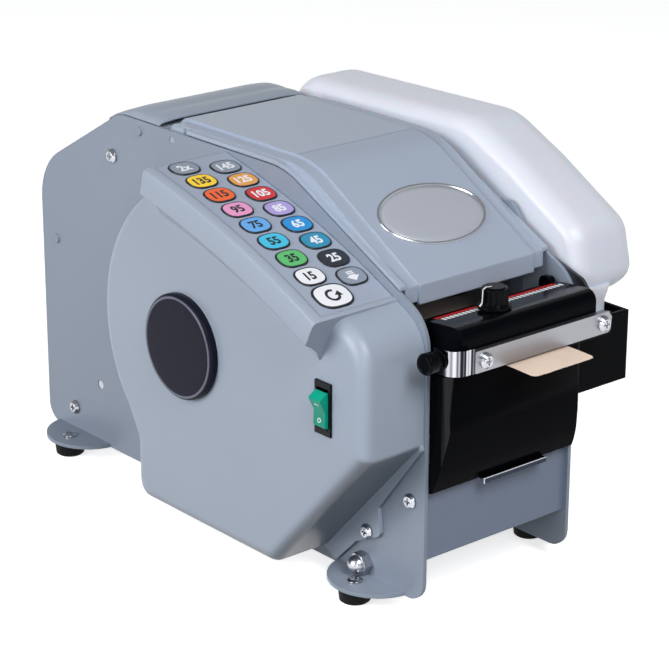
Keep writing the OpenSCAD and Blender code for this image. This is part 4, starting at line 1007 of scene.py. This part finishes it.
def on_keypad(x, s, height):
    """Machine points at x across and s along the keypad, height above the hood's rim."""
    angle = KEYPAD_START + s / KEYPAD_RADIUS
    radius = KEYPAD_RADIUS + height
    return np.stack(np.broadcast_arrays(x, KEYPAD_CENTRE[0] + radius * np.cos(angle),
                                        KEYPAD_CENTRE[1] + radius * np.sin(angle)), axis=-1)


overlay = Finish("keypad_overlay", 0.45, Coat_Weight=0.1)
overlay_grain = overlay.noise(1400.0, 2.0, 0.6)
overlay.follow(overlay_grain, tint(150, 160, 178), tint(158, 168, 186), 0.30, 0.08)
overlay.relief(overlay_grain, 0.2, 0.00002, 0.0004)
shade(nodes["keypad_panel"], overlay)
print("keypad starts at", np.round(on_keypad(0.0, 0.0, 0.0)[1:], 1))

# %% [markdown]
# ## Seventeen printed keys
#
# Each key is a rounded oval, printed with a dark outline round a bright field, and its
# number in dark or white. A superellipse gives the oval: its radius in a direction is
# (|cos|^n + |sin|^n)^(-1/n). Rings of that outline, shrunk towards the middle and raised a
# little, make the domed face; the outermost rings take the outline's ink.

# %% Key shapes
WHITE = tint(230, 232, 237)
OVAL_POWER, AROUND = 2.7, 48
RING_SHARES = np.array([1.0, 1.0, 0.985, 0.955, 0.90, 0.875, 0.70, 0.50, 0.30, 0.10])
RING_HEIGHTS = np.array([-0.75, -0.12, -0.02, 0.03, 0.05, 0.05, 0.09, 0.12, 0.14, 0.15])
INKED_RINGS = 5
KEY_TOP = 0.6 - OVERLAY_DEPTH


def printed(name, colour):
    """Ink under clear film: a bright colour with a fine grain."""
    finish = Finish(name, Coat_Weight=0.25, Coat_Roughness=0.2)
    grain = finish.noise(1600.0, 2.0, 0.6)
    finish.follow(grain, colour, scaled(colour, 1.06, 0.004), 0.26, 0.08)
    return finish.relief(grain, 0.15, 0.00002)


ink = printed("outline_ink", tint(14, 17, 27))
white_ink = printed("white_ink", WHITE)


def key_face(node, x, s, width, length, colour):
    """The face of one key, in place of its node, at x across and s along the keypad."""
    cos, sin = circle(AROUND).T
    reach = (np.abs(cos) ** OVAL_POWER + np.abs(sin) ** OVAL_POWER) ** (-1 / OVAL_POWER)
    # a rim as wide on every side: x shrinks by the same millimetres as s, not the same share
    shrink = (1 - RING_SHARES)[:, None]
    rings = on_keypad(x - reach * cos * width / 2 * (1 - shrink * length / width),
                      s - reach * sin * length / 2 * (1 - shrink),
                      KEY_TOP + RING_HEIGHTS[:, None])
    top_and_foot = on_keypad(x, s, KEY_TOP + RING_HEIGHTS[[-1, 0]])
    step = np.arange(AROUND)
    beside = (step + 1) % AROUND
    last = (len(RING_SHARES) - 1) * AROUND
    top = np.full(AROUND, last + AROUND)
    faces = ring_faces(len(RING_SHARES), AROUND)
    faces += np.stack([last + step, last + beside, top], axis=-1).tolist()
    faces += np.stack([beside, step, top + 1], axis=-1).tolist()
    piece = new_piece(node + "_face", (np.concatenate([*rings, top_and_foot]), faces), node,
                      printed(node + "_print", colour), node, rounded=True)
    piece.data.materials.append(ink.material)
    inked = (np.arange(len(faces)) < INKED_RINGS * AROUND).astype(np.int32)
    piece.data.polygons.foreach_set("material_index", inked)


print("inks ready")

# %% [markdown]
# ## Numbers on the keys
#
# A number is a text object with a little thickness, made a mesh and bent onto the keypad's
# arc by the function that places the keys. Its baseline runs across the machine. The
# advance key has an arrow and the wide key a round arrow, both drawn as outlines.

# %% Labels
SIGN_THICK, THICKEN = 0.012, 2.0
BOLDER = 0.034
LABEL_LIFT = 0.17


def flat_mesh(curve_data):
    """The vertices and faces of a curve or text, as arrays, with the object removed."""
    holder = add_object("label", curve_data)
    bpy.context.view_layer.update()
    evaluated = holder.evaluated_get(bpy.context.evaluated_depsgraph_get())
    made = bpy.data.meshes.new_from_object(evaluated)
    points = np.empty(len(made.vertices) * 3)
    made.vertices.foreach_get("co", points)
    faces = [tuple(face.vertices) for face in made.polygons]
    bpy.data.objects.remove(holder)
    return points.reshape(-1, 3), faces


def number_sign(words):
    """A number as a mesh about its own middle."""
    text = bpy.data.curves.new("number", "FONT")
    text.body = words
    text.align_x = text.align_y = "CENTER"
    text.extrude, text.offset, text.resolution_u = SIGN_THICK, BOLDER, 3
    points, faces = flat_mesh(text)
    low, high = points.min(axis=0), points.max(axis=0)
    return points - [(low[0] + high[0]) / 2, (low[1] + high[1]) / 2, 0], faces


def drawn_sign(loops):
    """Closed outlines in the plane, filled and given a little thickness."""
    curve = bpy.data.curves.new("sign", "CURVE")
    curve.dimensions, curve.fill_mode = "2D", "BOTH"
    curve.extrude = SIGN_THICK
    for loop in loops:
        spline = curve.splines.new("POLY")
        spline.points.add(len(loop) - 1)
        spline.points.foreach_set("co", np.array([[x, y, 0.0, 1.0] for x, y in loop]).ravel())
        spline.use_cyclic_u = True
    return flat_mesh(curve)


def label(node, x, s, sign, size, finish):
    """Lays a sign on a key: its x runs across the machine, its y back up the keypad."""
    points, faces = sign
    across, along, thick = (points * [*size, THICKEN]).T
    placed = on_keypad(x + across, s - along, KEY_TOP + LABEL_LIFT + thick)
    new_piece(node + "_label", (placed, faces), node, finish)


ARROW = [[(-0.42, 0.10), (0.42, 0.10), (0.42, -0.08), (0.80, -0.08), (0.0, -0.72),
          (-0.80, -0.08), (-0.42, -0.08)]]
ARROW += [[(-0.42, low), (0.42, low), (0.42, low + 0.15), (-0.42, low + 0.15)]
          for low in (0.22, 0.46)]
around = arc(60, 345, 30)
out = around[-1]
onward = np.array([-out[1], out[0]])
ARROW_TIP = [out * 0.86, out * 0.51 + onward * 0.50, out * 0.16]
ROUND_ARROW = [np.concatenate([around * 0.62, ARROW_TIP, around[::-1] * 0.40])]
print("arrows of", len(ARROW), "outlines and of", len(ROUND_ARROW))

# %% [markdown]
# ## The rows of keys
#
# Eight keys lie in an outer column and eight in an inner one, half a pitch further down, and
# a wide key closes the outer column. Most of the outer, lighter keys have dark lettering,
# and the inner ones white.

# %% Keys
KEY_FIRST, KEY_PITCH, INNER_SHIFT = 7.6, 17.85, 8.2
KEYPAD_X, COLUMN_X = -87.85, 12.75
KEY_SIZE, WIDE_SIZE = (20.0, 15.6), (26.0, 20.0)
NUMBER_SIZE, ARROW_SIZE, ROUND_SIZE = (8.448, 9.372), (6.0, 6.4), (8.0, 8.0)
KEY_GREY = tint(134, 144, 160)
OUTER_KEYS = {"double": KEY_GREY, "135": tint(252, 208, 44), "115": tint(238, 98, 38),
              "95": tint(228, 152, 196), "75": tint(98, 165, 230), "55": tint(62, 188, 222),
              "35": tint(88, 184, 108), "15": WHITE}
INNER_KEYS = {"145": KEY_GREY, "125": tint(222, 155, 70), "105": tint(204, 38, 38),
              "85": tint(170, 154, 212), "65": tint(24, 138, 208), "45": tint(34, 138, 174),
              "25": tint(28, 34, 46), "feed": KEY_GREY}
for side, shift, keys in ((-1, 0.0, OUTER_KEYS), (1, INNER_SHIFT, INNER_KEYS)):
    for row, (name, colour) in enumerate(keys.items()):
        node = "key_" + name
        x, s = KEYPAD_X + side * COLUMN_X, KEY_FIRST + row * KEY_PITCH + shift
        key_face(node, x, s, *KEY_SIZE, colour)
        if name == "feed":
            label(node, x, s, drawn_sign(ARROW), ARROW_SIZE, white_ink)
        else:
            lettering = white_ink if side > 0 or name == "double" else ink
            words = "2x" if name == "double" else name
            label(node, x, s, number_sign(words), NUMBER_SIZE, lettering)
wide_x, wide_s = KEYPAD_X - COLUMN_X + 2.3, KEY_FIRST + 8 * KEY_PITCH + 1.2
key_face("key_repeat", wide_x, wide_s, *WIDE_SIZE, WHITE)
label("key_repeat", wide_x, wide_s, drawn_sign(ROUND_ARROW), ROUND_SIZE, ink)
print("made", len(OUTER_KEYS) + len(INNER_KEYS) + 1, "keys")

# %% [markdown]
# ## The floor
#
# A pale paper sheet. Seen directly or in a polished surface it is white paper that keeps a
# soft shadow. For light that bounces off it, it is a mid grey, so that undersides stay as
# dark as on a real sweep of paper that is lit only around the object.

# %% Floor
HALF = 4.0
sheet = Finish("pale_floor", 0.0, Roughness=0.9, Emission_Strength=1.0)
seen = sheet.looked_at()
paper_white = sheet.mix(tint(246, 247, 248), tint(250, 250, 250), sheet.noise(3.0))
sheet.skin(Base_Color=sheet.mix(tint(78, 82, 88), paper_white, seen),
           Emission_Color=sheet.mix(tint(0, 0, 0), tint(218, 218, 218), seen))
floor_mesh = bpy.data.meshes.new("floor")
floor_mesh.from_pydata([(-HALF, -HALF, 0), (HALF, -HALF, 0), (HALF, HALF, 0),
                        (-HALF, HALF, 0)], [], [(0, 1, 2, 3)])
floor_mesh.materials.append(sheet.material)
floor = add_object("floor", floor_mesh)
print("floor of", 2 * HALF, "m")
